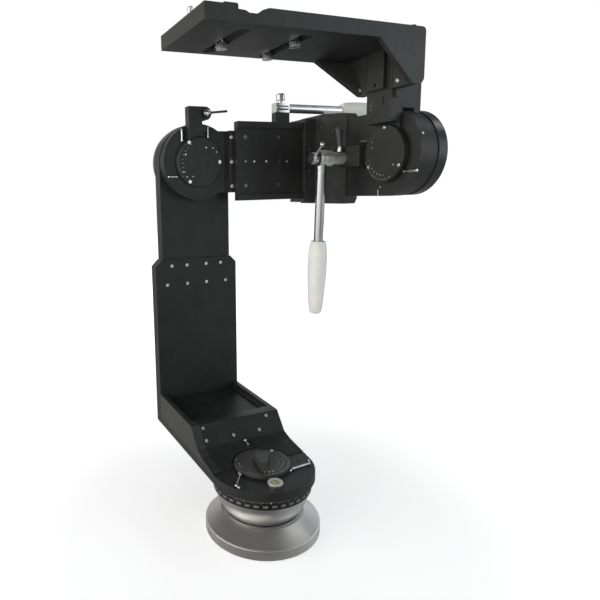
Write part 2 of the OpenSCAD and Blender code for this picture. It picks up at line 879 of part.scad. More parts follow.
module bar_spigot() {
    color(chrome_c) {
        along_x([spigot_x0, spigot_y, spigot_z]) cylinder(r = spigot_r, h = bracket_x0 - spigot_x0);
        along_x([spigot_x0, spigot_y, spigot_z]) cylinder(r = spigot_r + 3, h = 8);
    }
}

module spigot_clamp_lever() {
    color(dark) translate([bracket_x0 - 7, spigot_y, spigot_z + spigot_r + face_gap]) {
        cylinder(r = 3.4, h = 13);
        translate([0, 0, 10]) rotate([0, -7, 0]) {
            cylinder(r1 = 3.8, r2 = 6.2, h = 26);
            translate([0, 0, 26]) sphere(r = 6.2);
        }
    }
}

module tilt_lever_rods() {
    color(chrome_c) along_x([hub_x1 - 0.2, 0, axis_z]) mirror([0, 0, 1]) {
        lever_rod([-23, sqrt(hub_r * hub_r - 20 * 20) + 0.2], 90, 23);
        lever_rod([29, -sqrt(hub_r * hub_r - 26 * 26) - 0.2], -90, 24);
    }
}

module slot_cut(x, w, z0, z1) {
    box([x - w / 2, slot_y0, z0], [x + w / 2, slot_y1, z1]);
    for (y = [slot_y0, slot_y1]) {
        translate([x, y, z0]) cylinder(r = w / 2, h = z1 - z0);
    }
}

// Cutter that rounds an edge along Y at the right end of the platform, on its upper side for s = 1
module round_edge(x, z, r, s) {
    translate([0, platform_far + 1, 0]) rotate([90, 0, 0]) linear_extrude(platform_near + platform_far + 2) {
        translate([x - r, z - s * r]) difference() {
            translate([0, s > 0 ? 0 : -r - 0.5]) square(r + 0.5);
            circle(r = r);
        }
    }
}

module camera_platform() {
    color(black) difference() {
        union() {
            box([platform_x0, -platform_near, platform_z], [web_x1, platform_far, platform_top]);
            box([platform_x0 + 26, -platform_near, platform_top - 1],
                [platform_x0 + 44, platform_far, platform_top + 1.5]);
            prism_x(web_x0, web_x1, [
                [-platform_near, platform_z + 1], [-platform_near, web_z], [platform_far - 36, web_z],
                [platform_far, platform_z], [platform_far, platform_z + 1]
            ]);
            prism_y(-platform_near, -platform_near + 8, [
                [web_x0 - 59, platform_z], [web_x0 + 1, web_z], [web_x0 + 1, platform_z + 1],
                [web_x0 - 59, platform_z + 1]
            ]);
            intersection() {
                prism_y(0, platform_far + 10, [
                    [web_x0 - 59, platform_z], [web_x0 + 1, web_z], [web_x0 + 1, platform_z + 1],
                    [web_x0 - 59, platform_z + 1]
                ]);
                prism_x(web_x0 - 60, web_x0 + 1, [
                    [platform_far - 36, web_z], [platform_far, platform_z], [platform_far, platform_z + 1],
                    [platform_far - 9.5, platform_z + 1], [platform_far - 45.5, web_z]
                ]);
            }
        }
        prism_y(-platform_near - 1, platform_far + 1, [
            [platform_x0 + 45, platform_top + 3], [platform_x0 + 45, platform_top - 5],
            [platform_x0 + 55, platform_top - 5.5], [platform_x0 + 60, platform_top - 8],
            [platform_x0 + 73, platform_top - 8], [platform_x0 + 79, platform_top - 3],
            [platform_x0 + 88, platform_top], [platform_x0 + 88, platform_top + 3]
        ]);
        round_edge(web_x1, platform_top, 6, 1);
        round_edge(web_x1, web_z, 10, -1);
        for (x = [slot_a_x, slot_b_x]) {
            slot_cut(x, slot_w, platform_z - 1, platform_top + 1);
            slot_cut(x, counter_w, platform_z - 1, platform_z + counter_d);
        }
        box([web_x0 - 1, -rail_w / 2 - slide_gap, web_z - 1],
            [web_x1 + 1, rail_w / 2 + slide_gap, platform_z]);
        box([tongue_x0 - slide_gap, -rail_w / 2 - 4 - slide_gap, web_z - 1],
            [tongue_x1 + slide_gap, rail_w / 2 + 4 + slide_gap, platform_z]);
        translate([web_x1 - 16, -platform_near + 9, platform_top - 6]) cylinder(r = 5.3, h = 8);
        translate([platform_x0 + 5, -14, platform_top - 6]) cylinder(r = 3.7 + fit_gap, h = 8);
    }
}

module rail_cover() {
    color(black) difference() {
        box([web_x0 - 7, -18, web_z + 2], [web_x0, 18, platform_z]);
        along_x([web_x0 - 8, 0, web_z + 9]) cylinder(r = 2.6, h = 9);
    }
}

module stop_pin() {
    color(chrome_c) translate([platform_x0 + 5, -14, platform_top - 6]) edged_disc(3.7, 0, 16, 1);
}

module release_button() {
    color(dark) translate([web_x1 - 16, -platform_near + 9, platform_top - 3]) edged_disc(5, 0, 6, 1);
}

// Knurled head below the slot, thread standing above the platform
module camera_screw(p) {
    color(chrome_c) translate([p[0], p[1], platform_z + counter_d - face_gap]) {
        translate([0, 0, -10]) cylinder(r = camera_screw_r + 3.2, h = 10);
        cylinder(r = camera_screw_r + screw_neck, h = platform_t - counter_d + face_gap + thread_seat);
        cylinder(r = camera_screw_r, h = platform_t - counter_d + face_gap + camera_screw_h);
    }
}

module camera_screw_a() {
    camera_screw(camera_screws_at[0]);
}

module camera_screw_b() {
    camera_screw(camera_screws_at[1]);
}

module camera_screw_c() {
    camera_screw(camera_screws_at[2]);
}

module bar1_place() {
    translate([bar1_x - 0.3, spigot_y, spigot_z]) rotate([bar1_lean, 0, 0]) children();
}

// Half-width of a grip at a share t of its length from the bar
function grip_half(t) = bar_r + 4.5 + (grip_r - bar_r - 4.5) * pow(sin(180 * pow(t, 0.72)), 0.8) - 1.2 * t;
grip_steps = 20;

// Grip along z, open for the bar at its start and rounded at its end
module grip_body() {
    difference() {
        union() {
            rotate_extrude() polygon(concat(
                [[0, 0]],
                [for (i = [0 : grip_steps]) [grip_half(i / grip_steps), grip_len * i / grip_steps]],
                [[0, grip_len]]
            ));
            translate([0, 0, grip_len]) scale([1, 1, 0.5]) sphere(r = grip_half(1));
        }
        translate([0, 0, -1]) cylinder(r = bar_r + fit_gap, h = 41);
    }
}

module bar1_tube() {
    color(chrome_c) bar1_place() {
        along_x([-eye_w / 2, 0, 0]) cylinder(r = eye_r, h = eye_w);
        translate([0, 0, -sleeve_z]) cylinder(r = bar_r + 0.7, h = sleeve_h);
        translate([0, 0, -sleeve_z - bar_len - grip_seat]) cylinder(r = bar_r, h = bar_len + grip_seat + 1);
    }
}

module bar1_grip() {
    color(white_c) bar1_place() translate([0, 0, -sleeve_z - bar_len]) rotate([180, 0, 0]) grip_body();
}

module bar1_lock_lever() {
    color(chrome_c) bar1_place() {
        along_x([-22, 0, 0]) edged_disc(9.5, 0, 12.7, 2);
        rotate([45, 0, 0]) translate([-16, 0, 0]) {
            cylinder(r = 1.8, h = 30);
            translate([0, 0, 31]) sphere(r = 4.2);
        }
    }
}

module bar2_place() {
    translate([post_x, post_y, clamp_z]) children();
}

module bar2_clamp() {
    color(silver) bar2_place() difference() {
        union() {
            box([-post_w / 2, -post_d / 2, face_gap], [post_w / 2, post_d / 2, clamp_h]);
            along_x([-post_w / 2 + 2, 0, clamp_h - bar_r - 0.5]) cylinder(r = bar_r + 0.5, h = post_w - 4);
        }
        translate([0, 0, -1]) cylinder(r = 5.05, h = 7.5);
    }
}

module bar2_tube() {
    color(chrome_c) bar2_place() along_x([post_w / 2, 0, clamp_h - bar_r - 0.5]) cylinder(r = bar_r, h = bar_len + 38);
}

module bar2_grip() {
    color(white_c) bar2_place() along_x([post_w / 2 + bar_len, 0, clamp_h - bar_r - 0.5]) grip_body();
}

module bar2_knob() {
    color(chrome_c) bar2_place() translate([0, 0, clamp_h + face_gap]) {
        cylinder(r = 4, h = 6);
        translate([0, 0, 5]) edged_disc(8.5, 0, 12, 2.5);
    }
}

base_flange();
level_ring();
levelling_ball();
pan_scale_ring();
pan_drag_lid();
pan_bearings();
pan_shaft();
pan_drag_rotor();
pan_housing();
left_cheek();
right_cheek();
leg_cover();
pan_screws();
level_cup();
level_vial();
pan_dial();
pan_lever_rods();
lower_plate();
upper_plate();
roll_bearings();
roll_drum();
roll_drag_cap();
roll_shaft();
roll_drag_rotor();
roll_link();
roll_cover_disc();
roll_bar_bracket();
bracket_clamp_screw();
roll_lever_rods();
box_arm();
corner_block();
arm_screws();
bar_post();
tilt_housing();
tilt_bearings();
tilt_drum();
tilt_drag_cap();
tilt_shaft();
tilt_drag_rotor();
arm_rail();
arm_back_bar();
tilt_cover_disc();
tilt_bar_bracket();
bar_spigot();
spigot_clamp_lever();
tilt_lever_rods();
camera_platform();
rail_cover();
stop_pin();
release_button();
camera_screw_a();
camera_screw_b();
camera_screw_c();
bar1_tube();
bar1_grip();
bar1_lock_lever();
bar2_clamp();
bar2_tube();
bar2_grip();
bar2_knob();
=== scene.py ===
import json
import math

import bmesh
import bpy
from mathutils import Matrix, Vector

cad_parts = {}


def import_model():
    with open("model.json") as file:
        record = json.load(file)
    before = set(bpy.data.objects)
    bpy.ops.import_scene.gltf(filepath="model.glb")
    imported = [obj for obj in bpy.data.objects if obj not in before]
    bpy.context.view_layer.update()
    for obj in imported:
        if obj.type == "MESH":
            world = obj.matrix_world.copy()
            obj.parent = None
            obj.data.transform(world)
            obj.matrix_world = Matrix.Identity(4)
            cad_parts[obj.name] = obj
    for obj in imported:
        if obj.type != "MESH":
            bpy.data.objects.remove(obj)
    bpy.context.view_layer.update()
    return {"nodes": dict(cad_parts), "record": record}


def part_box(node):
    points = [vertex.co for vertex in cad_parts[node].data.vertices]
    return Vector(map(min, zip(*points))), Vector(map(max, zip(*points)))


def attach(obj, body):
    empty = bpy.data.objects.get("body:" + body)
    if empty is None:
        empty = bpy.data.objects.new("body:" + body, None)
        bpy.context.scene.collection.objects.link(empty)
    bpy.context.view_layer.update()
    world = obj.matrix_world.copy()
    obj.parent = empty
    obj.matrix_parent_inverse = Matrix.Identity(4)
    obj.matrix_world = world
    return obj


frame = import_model()
NODES = frame["nodes"]

# Height of the roll and tilt axes; each axis is a direction and a point on it
HEAD_Z = 0.579
PAN_AXIS = ((0, 0, 1), (0, 0, 0))
ROLL_AXIS = ((0, 1, 0), (0, 0, HEAD_Z))
TILT_AXIS = ((1, 0, 0), (0, 0, HEAD_Z))

# Sockets of a Mix node in its colour mode
MIX_FAC, MIX_A, MIX_B, MIX_OUT = 0, 6, 7, 2


# Materials

class Shader:
    """A Principled material with short calls for its texture nodes."""

    def __init__(self, name):
        self.mat = bpy.data.materials.new(name)
        self.mat.use_nodes = True
        self.tree = self.mat.node_tree
        self.bsdf = self.tree.nodes["Principled BSDF"]
        self.place = self.node("ShaderNodeTexCoord").outputs["Object"]

    def node(self, kind, **values):
        made = self.tree.nodes.new(kind)
        for key, value in values.items():
            setattr(made, key, value)
        return made

    def link(self, a, b):
        self.tree.links.new(a, b)

    def feed(self, socket, value):
        """Links a socket to another, or sets it to a plain value."""
        if hasattr(value, "is_linked"):
            self.link(value, socket)
        else:
            socket.default_value = value

    def put(self, **values):
        """Sets inputs of the Principled node; an underscore stands for a space."""
        for key, value in values.items():
            self.bsdf.inputs[key.replace("_", " ")].default_value = value
        return self

    def mapped(self, stretch):
        node = self.node("ShaderNodeMapping")
        node.inputs["Scale"].default_value = stretch
        self.link(self.place, node.inputs["Vector"])
        return node.outputs["Vector"]

    def vector(self, kind, a, b=None):
        """Vector maths; the result is a number for a length, a distance or a dot product."""
        node = self.node("ShaderNodeVectorMath", operation=kind)
        self.feed(node.inputs[0], a)
        if b is not None:
            self.feed(node.inputs[1], b)
        return node.outputs["Value" if kind in ("LENGTH", "DISTANCE", "DOT_PRODUCT") else "Vector"]

    def about(self, axis, centre):
        """Distance from a line and height along it, for turned surfaces."""
        shift = self.vector("SUBTRACT", self.place, centre)
        flat = self.vector("MULTIPLY", shift, [1 - a for a in axis])
        both = self.node("ShaderNodeCombineXYZ")
        self.link(self.vector("LENGTH", flat), both.inputs["X"])
        self.link(self.vector("DOT_PRODUCT", shift, axis), both.inputs["Y"])
        return both.outputs["Vector"]

    def noise(self, scale, detail=3, rough=0.55, vector=None):
        node = self.node("ShaderNodeTexNoise")
        node.inputs["Scale"].default_value = scale
        node.inputs["Detail"].default_value = detail
        node.inputs["Roughness"].default_value = rough
        self.link(vector or self.place, node.inputs["Vector"])
        return node.outputs["Fac"]

    def ramp(self, fac, *stops):
        """A colour ramp with (position, colour) stops."""
        node = self.node("ShaderNodeValToRGB")
        items = node.color_ramp.elements
        while len(items) < len(stops):
            items.new(0.5)
        for item, (place, colour) in zip(items, stops):
            item.position = place
            item.color = (*colour, 1)
        self.link(fac, node.inputs["Fac"])
        return node.outputs["Color"]

    def spread(self, fac, low, high, start=0.3, end=0.7):
        """Maps start to end onto low to high."""
        node = self.node("ShaderNodeMapRange")
        for key, value in (("From Min", start), ("From Max", end), ("To Min", low), ("To Max", high)):
            node.inputs[key].default_value = value
        self.link(fac, node.inputs["Value"])
        return node.outputs["Result"]

    def mix(self, fac, a, b):
        node = self.node("ShaderNodeMix", data_type="RGBA")
        self.feed(node.inputs[MIX_FAC], fac)
        for key, value in ((MIX_A, a), (MIX_B, b)):
            self.feed(node.inputs[key], value if hasattr(value, "is_linked") else (*value, 1))
        return node.outputs[MIX_OUT]

    def math(self, kind, a, b):
        node = self.node("ShaderNodeMath", operation=kind)
        self.feed(node.inputs[0], a)
        self.feed(node.inputs[1], b)
        return node.outputs[0]

    def edges(self, radius):
        """The normal rounded over the edges, and a mask of those edges."""
        bevel = self.node("ShaderNodeBevel", samples=6)
        bevel.inputs["Radius"].default_value = radius
        flat = self.node("ShaderNodeNewGeometry").outputs["Normal"]
        dot = self.vector("DOT_PRODUCT", bevel.outputs["Normal"], flat)
        turned = self.math("SUBTRACT", 1.0, dot)
        return bevel.outputs["Normal"], self.spread(turned, 0.0, 1.0, start=0.02, end=0.22)

    def bump(self, height, strength, distance, before=None):
        node = self.node("ShaderNodeBump")
        node.inputs["Strength"].default_value = strength
        node.inputs["Distance"].default_value = distance
        self.link(height, node.inputs["Height"])
        if before is not None:
            self.link(before, node.inputs["Normal"])
        self.link(node.outputs["Normal"], self.bsdf.inputs["Normal"])

    def colour(self, socket):
        self.link(socket, self.bsdf.inputs["Base Color"])

    def rough(self, socket):
        self.link(socket, self.bsdf.inputs["Roughness"])

    def glow(self, strength):
        node = self.node("ShaderNodeEmission")
        self.link(strength, node.inputs["Strength"])
        return node.outputs["Emission"]

    def added(self, a, b):
        node = self.node("ShaderNodeAddShader")
        self.link(a, node.inputs[0])
        self.link(b, node.inputs[1])
        return node.outputs["Shader"]


# Radii of the rounded edges, depth of the surface grain, the colour of rubbed metal, and the colour that
# metal is darkened to past a given x
EDGE, FINE_EDGE, RING_EDGE = 0.0009, 0.0006, 0.0005
GRAIN_DEPTH = 0.00012
RUBBED = (0.12, 0.122, 0.12)
DARKENED = (0.06, 0.06, 0.058)


def shade(colour, factor):
    """A colour times a factor, with no channel over 1."""
    return [min(1, c * factor) for c in colour]


def anodised(name, dark, light, low, high, turned=None, radius=EDGE):
    """Black anodised alloy: mottling, matt grain, rubbed edges, and turning marks round an axis."""
    s = Shader(name).put(Metallic=0.0, IOR=1.5, Specular_IOR_Level=0.3)
    mottle = s.noise(14, detail=4, rough=0.6)
    body = s.ramp(mottle, (0.32, dark), (0.7, light))
    smear = s.noise(55, detail=3, rough=0.6, vector=s.mapped((1, 1, 0.35)))
    body = s.mix(s.spread(smear, 0.0, 0.3, start=0.5, end=0.75), body, shade(light, 1.6))
    rounded, rim = s.edges(radius)
    rubbed = s.math("MULTIPLY", rim, s.spread(s.noise(160, detail=4, rough=0.7), 0.1, 0.55))
    s.colour(s.mix(rubbed, body, RUBBED))
    grain = s.noise(2600, detail=2, rough=0.6)
    s.rough(s.math("ADD", s.spread(mottle, low, high), s.spread(grain, -0.05, 0.05)))
    height = grain
    if turned:
        rings = s.noise(1500, detail=2, rough=0.5, vector=s.about(*turned))
        height = s.math("ADD", s.math("MULTIPLY", grain, 0.6), rings)
    s.bump(height, 0.14, GRAIN_DEPTH, rounded)
    return s.mat


def machined(name, tint, turned=None, rough=(0.24, 0.4), scale=900, anisotropy=0.0, dim=None):
    """Turned or ground bare metal with fine tool marks; dim is the x beyond which it is darkened."""
    s = Shader(name).put(Metallic=1.0)
    marks = s.noise(scale, detail=4, rough=0.65, vector=s.about(*turned) if turned else None)
    cloud = s.noise(22, detail=3, rough=0.6)
    base = s.ramp(marks, (0.3, shade(tint, 0.84)), (0.7, tint))
    worn = s.mix(s.spread(cloud, 0.0, 0.35), base, shade(tint, 0.8))
    if dim:
        split = s.node("ShaderNodeSeparateXYZ")
        s.link(s.place, split.inputs[0])
        beyond = s.spread(split.outputs["X"], 0.0, 0.82, start=dim, end=dim + 0.002)
        worn = s.mix(beyond, worn, DARKENED)
    rounded, rim = s.edges(EDGE)
    s.colour(s.mix(s.math("MULTIPLY", rim, 0.4), worn, shade(tint, 1.35)))
    s.rough(s.math("ADD", s.spread(marks, *rough), s.spread(cloud, -0.04, 0.06)))
    s.bump(marks, 0.1, GRAIN_DEPTH, rounded)
    if anisotropy:
        s.put(Anisotropic=anisotropy)
        tangent = s.node("ShaderNodeTangent", direction_type="RADIAL", axis="Z")
        s.link(tangent.outputs["Tangent"], s.bsdf.inputs["Tangent"])
    return s.mat


def polished(name, tint, rough=(0.1, 0.2)):
    """Bright plating with faint wiping marks."""
    s = Shader(name).put(Metallic=1.0)
    wipe = s.noise(90, detail=4, rough=0.65, vector=s.mapped((1, 1, 0.2)))
    s.colour(s.ramp(wipe, (0.3, shade(tint, 0.86)), (0.65, tint)))
    s.rough(s.spread(wipe, *rough))
    rounded, _ = s.edges(FINE_EDGE)
    s.bump(s.noise(700, detail=2), 0.03, 0.0001, rounded)
    return s.mat


def moulded(name, dark, light, rough, grain=1500, strength=0.12, subsurface=0.0):
    """Moulded plastic or rubber with a fine skin and light handling marks."""
    s = Shader(name).put(Metallic=0.0, IOR=1.46)
    if subsurface:
        s.put(Subsurface_Weight=subsurface, Subsurface_Scale=0.002)
    cloud = s.noise(38, detail=4, rough=0.6)
    body = s.ramp(cloud, (0.3, dark), (0.68, light))
    spots = s.spread(s.noise(210, detail=3, rough=0.7), 0.0, 0.5, start=0.62, end=0.8)
    s.colour(s.mix(spots, body, shade(dark, 0.82)))
    skin = s.noise(grain, detail=3, rough=0.6)
    s.rough(s.math("ADD", s.spread(cloud, *rough), s.spread(skin, -0.04, 0.04)))
    s.bump(skin, strength, 0.0002)
    return s.mat


def marking(name, colour):
    """Filled engraving: slightly uneven pale paint."""
    s = Shader(name).put(Metallic=0.0)
    wear = s.noise(800, detail=3, rough=0.7)
    s.colour(s.ramp(wear, (0.25, shade(colour, 0.7)), (0.6, colour)))
    s.rough(s.spread(wear, 0.45, 0.65))
    return s.mat


def level_fluid(name):
    """Tinted fluid under a clear cap."""
    s = Shader(name).put(Metallic=0.0, Roughness=0.12, IOR=1.47, Coat_Weight=0.6, Coat_Roughness=0.05)
    s.colour(s.ramp(s.noise(240, detail=2), (0.3, (0.40, 0.44, 0.10)), (0.7, (0.52, 0.56, 0.17))))
    return s.mat


# Dark and light ends of the mottling: plain black, the scale ring, the cover discs
DARK, LIGHT = (0.0125, 0.0132, 0.0126), (0.0205, 0.0215, 0.0206)
DEEP, PALE = (0.0070, 0.0074, 0.0071), (0.0115, 0.0120, 0.0117)
FACE, SHEEN = (0.0150, 0.0156, 0.0148), (0.0240, 0.0250, 0.0238)


def black(name, factor, low, high):
    """Plain anodised black times a factor: a factor above 1 paints in light, below 1 paints in shade."""
    return anodised(name, shade(DARK, factor), shade(LIGHT, factor), low, high)


BLACK = anodised("black_anodised", DARK, LIGHT, 0.40, 0.54)
ROLL_DRUM = anodised("roll_drum_black", DARK, LIGHT, 0.27, 0.38, ROLL_AXIS)
TILT_DRUM = anodised("tilt_drum_black", DARK, LIGHT, 0.27, 0.38, TILT_AXIS)
# The pan dial is a lit copy of the cover-disc black: painted light for the light its upward face lacks.
PAN_DISC_LIT = anodised("pan_disc_painted_light", shade(FACE, 2.3), shade(SHEEN, 2.3), 0.40, 0.52, PAN_AXIS, FINE_EDGE)
ROLL_DISC = anodised("roll_disc_black", FACE, SHEEN, 0.42, 0.55, ROLL_AXIS, FINE_EDGE)
TILT_DISC = anodised("tilt_disc_black", FACE, SHEEN, 0.42, 0.55, TILT_AXIS, FINE_EDGE)
SCALE = anodised("scale_black", DEEP, PALE, 0.34, 0.45, PAN_AXIS, RING_EDGE)
SILVER = machined("silver_machined", (0.53, 0.522, 0.508), PAN_AXIS, (0.28, 0.38), 1500, 0.55)
# The base flange is a lit copy of the machined silver: painted light for the brighter surroundings it
# reflects.
FLANGE_LIT = machined("flange_silver_painted_light", (0.62, 0.61, 0.592), PAN_AXIS, (0.30, 0.40), 1500, 0.65)
STEEL = machined("bearing_steel", (0.5, 0.5, 0.52), None, (0.18, 0.3))
ROTOR = machined("rotor_alloy", (0.5, 0.5, 0.52), None, (0.25, 0.4))
OXIDE = machined("dark_steel", (0.10, 0.10, 0.098), None, (0.34, 0.48))
ZINC = machined("zinc_screw", (0.72, 0.72, 0.73), None, (0.26, 0.4))
# The arm screws get a very bright tint, painted highlight for the white glints on the screws of the tilt
# link; past x = 0.076 they are darkened.
ARM_ZINC = machined("arm_screws", (0.90, 0.90, 0.91), None, (0.26, 0.4), dim=0.076)
SATIN = machined("satin_steel", (0.84, 0.84, 0.82), TILT_AXIS, (0.42, 0.52))
CHROME = polished("bright_chrome", (0.62, 0.625, 0.62))
# Copies of the chrome: bar 1 and the knob of bar 2 are darkened, painted shade to damp their bright
# reflections; the tube of bar 2 is lightened, painted light.
BAR = polished("bar1_chrome_painted_shade", (0.29, 0.294, 0.30), (0.24, 0.36))
BAR_2 = polished("bar2_chrome_painted_light", (0.72, 0.73, 0.735), (0.26, 0.36))
KNOB = polished("knob_chrome_painted_shade", (0.44, 0.44, 0.425), (0.2, 0.32))
EYE = machined("eye_satin", (0.78, 0.775, 0.755), TILT_AXIS, (0.4, 0.5))
# The left cheek is a lit copy of the black: painted sheen for the light it catches at a grazing angle.
CHEEK_SHEEN = black("cheek_painted_sheen", 2.1, 0.38, 0.50)
# The camera platform is a lit copy of the black: painted light to lift its shaded underside and pocket.
PLATFORM_LIT = black("platform_painted_light", 1.4, 0.40, 0.54)
# The upper and lower plates are a shaded copy of the black: painted shade for their place further from the
# lamps.
PLATE = black("plate_painted_shade", 0.75, 0.40, 0.54)
# The corner block is a lit copy of the black: painted light to lift the shade in its concave corner.
CORNER_LIT = black("corner_painted_light", 1.7, 0.42, 0.54)
# A paler copy of the black for the sheet on the far gusset: painted light in the shaded pocket under the
# platform.
POCKET_LIGHT = black("pocket_painted_light", 3.6, 0.42, 0.55)
LEVER = moulded("grey_lever", (0.030, 0.029, 0.026), (0.052, 0.050, 0.045), (0.35, 0.5))
GRIP = moulded("white_grip", (0.70, 0.70, 0.655), (0.80, 0.80, 0.755), (0.42, 0.58), 900, 0.2, 0.1)
CREAM = moulded("level_bezel", (0.38, 0.38, 0.335), (0.50, 0.50, 0.445), (0.3, 0.42), 1200, 0.05)
PAINT = marking("white_paint", (0.74, 0.74, 0.71))
FAINT = marking("faint_paint", (0.15, 0.15, 0.145))
FIGURE = marking("scale_paint", (0.46, 0.46, 0.45))
# Near-black for flat marks that stand in for recesses: painted shade.
HOLE_SHADE = moulded("painted_hole_shade", (0.003, 0.003, 0.003), (0.006, 0.006, 0.006), (0.7, 0.85))
VIAL = level_fluid("vial_green")
ARM_DOT = machined("dowel_bright", (0.92, 0.92, 0.92), None, (0.3, 0.4))

# Looks by material slot, and the nodes that have a look of their own; several of these are lit or shaded
# copies of one material that paint in light or shade
LOOKS = {
    "black_anodised": BLACK, "silver_machined": SILVER, "satin_steel": SATIN, "scale_black": SCALE,
    "bearing_steel": STEEL, "rotor_alloy": ROTOR, "drum_black": ROLL_DRUM, "disc_black": ROLL_DISC,
    "dark_steel": OXIDE, "zinc_screw": ZINC, "vial_green": VIAL, "bright_chrome": CHROME,
    "grey_lever": LEVER, "white_grip": GRIP,
}
OWN_LOOKS = {
    "tilt_drum": TILT_DRUM, "tilt_drag_cap": TILT_DRUM, "tilt_cover_disc": TILT_DISC, "pan_dial": PAN_DISC_LIT,
    "arm_screws": ARM_ZINC, "bar2_clamp": CHROME, "bar1_tube": BAR, "bar2_tube": BAR_2, "bar2_knob": KNOB,
    "corner_block": CORNER_LIT, "left_cheek": CHEEK_SHEEN, "base_flange": FLANGE_LIT,
    "camera_platform": PLATFORM_LIT, "upper_plate": PLATE, "lower_plate": PLATE,
}
for part in frame["record"]["subparts"]:
    shown = NODES[part["node"]]
    shown.data.materials.clear()
    shown.data.materials.append(OWN_LOOKS.get(part["node"], LOOKS[part["material_slot"]]))


# Mesh building

# Height of figures over the face they are on
FACE_LIFT = 0.0001


def finish_mesh(name, bm, body, material, smooth=35):
    """Makes an object that rides on a body; edges bent by more than smooth degrees stay sharp."""
    bmesh.ops.recalc_face_normals(bm, faces=bm.faces)
    mesh = bpy.data.meshes.new(name)
    limit = math.radians(smooth)
    for face in bm.faces:
        face.smooth = True
    for edge in bm.edges:
        if len(edge.link_faces) == 2 and edge.calc_face_angle(0) > limit:
            edge.smooth = False
    bm.to_mesh(mesh)
    bm.free()
    made = bpy.data.objects.new(name, mesh)
    bpy.context.scene.collection.objects.link(made)
    made.data.materials.append(material)
    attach(made, body)


def lathe(bm, profile, place, steps=48, wave=0.0):
    """A turned shape from (radius, height) points about local z; wave is the depth of knurls."""
    rings = []
    for radius, height in profile:
        if radius < 1e-7:
            rings.append([bm.verts.new(place @ Vector((0, 0, height)))])
            continue
        ring = []
        for i in range(steps):
            a = 2 * math.pi * i / steps
            r = radius - (wave if i % 2 else 0)
            ring.append(bm.verts.new(place @ Vector((r * math.cos(a), r * math.sin(a), height))))
        rings.append(ring)
    for low, high in zip(rings, rings[1:]):
        for i in range(steps):
            j = (i + 1) % steps
            corners = []
            for ring, k in ((low, i), (low, j), (high, j), (high, i)):
                vert = ring[0] if len(ring) == 1 else ring[k]
                if vert not in corners:
                    corners.append(vert)
            if len(corners) > 2:
                bm.faces.new(corners)


def bar_mesh(bm, place, lo, hi):
    """A small box between two corners in the local frame of place."""
    made = bmesh.ops.create_cube(bm, size=1.0)["verts"]
    lo, hi = Vector(lo), Vector(hi)
    for vert in made:
        vert.co = place @ Vector([(a + b) / 2 + c * (b - a) for a, b, c in zip(lo, hi, vert.co)])


def wire(bm, points, radius, steps=14, end=0.62):
    """A round rod through points, closed at both ends and narrowed there to a part of its radius."""
    points = [Vector(p) for p in points]
    rings = []
    side = None
    last = len(points) - 1
    for i, p in enumerate(points):
        ahead = (points[min(i + 1, last)] - points[max(i - 1, 0)]).normalized()
        if side is None:
            side = ahead.orthogonal().normalized()
        side = (side - ahead * side.dot(ahead)).normalized()
        up = ahead.cross(side)
        shrink = end if i in (0, last) else 1.0
        rings.append([
            bm.verts.new(p + radius * shrink * (math.cos(a) * side + math.sin(a) * up))
            for a in [2 * math.pi * k / steps for k in range(steps)]])
    for low, high in zip(rings, rings[1:]):
        for k in range(steps):
            j = (k + 1) % steps
            bm.faces.new((low[k], low[j], high[j], high[k]))
    bm.faces.new(rings[0])
    bm.faces.new(rings[-1])


def slab(bm, first, second):
    """A solid between two outlines of the same length."""
    ends = [[bm.verts.new(p) for p in outline] for outline in (first, second)]
    for i in range(len(first)):
        j = (i + 1) % len(first)
        bm.faces.new((ends[0][i], ends[0][j], ends[1][j], ends[1][i]))
    for end in ends:
        bm.faces.new(end)


def add_text(bm, words, size, place):
    """Flat figures in the local x-y plane of place, centred on its origin."""
    curve = bpy.data.curves.new("figures", "FONT")
    curve.body = words
    curve.size = size
    curve.align_x = "CENTER"
    curve.align_y = "CENTER"
    curve.resolution_u = 3
    holder = bpy.data.objects.new("figures", curve)
    mesh = bpy.data.meshes.new_from_object(holder)
    mesh.transform(place)
    bm.from_mesh(mesh)
    bpy.data.objects.remove(holder)
    bpy.data.curves.remove(curve)
    bpy.data.meshes.remove(mesh)


def screw_mesh(bm, place, r, h):
    """Low cap screw with a socket, its head standing from local z = 0."""
    edge, socket, floor = 0.0004, r * 0.56, h * 0.35
    lathe(bm, [(r, 0), (r, h - edge), (r - edge, h), (socket, h), (socket, floor), (0, floor)], place, 24)


def paint_dot(bm, place, r):
    """A small dome of paint."""
    lathe(bm, [(r, 0), (r, 0.0001), (0, 0.00014)], place, 16)


def axes(origin, x, y):
    """A place from its origin and its local x and y directions."""
    x, y = Vector(x).normalized(), Vector(y).normalized()
    z = x.cross(y)
    return Matrix((
        (x.x, y.x, z.x, origin[0]), (x.y, y.y, z.y, origin[1]), (x.z, y.z, z.z, origin[2]), (0, 0, 0, 1)
    ))


def spun(angle):
    """A turn about z in degrees."""
    return Matrix.Rotation(math.radians(angle), 4, "Z")


def moved(x, y, z=0.0):
    """A shift."""
    return Matrix.Translation((x, y, z))


def polar(r, angle):
    """The x and y of a point at a radius and an angle in degrees."""
    a = math.radians(angle)
    return r * math.cos(a), r * math.sin(a)


def around(place, r, angle, turn):
    """A place for a figure at a radius and an angle on a round face, turned on the spot by turn."""
    return place @ moved(*polar(r, angle), FACE_LIFT) @ spun(angle + turn)


def low_corner(node):
    """The lowest x, y and z of a node."""
    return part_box(node)[0]


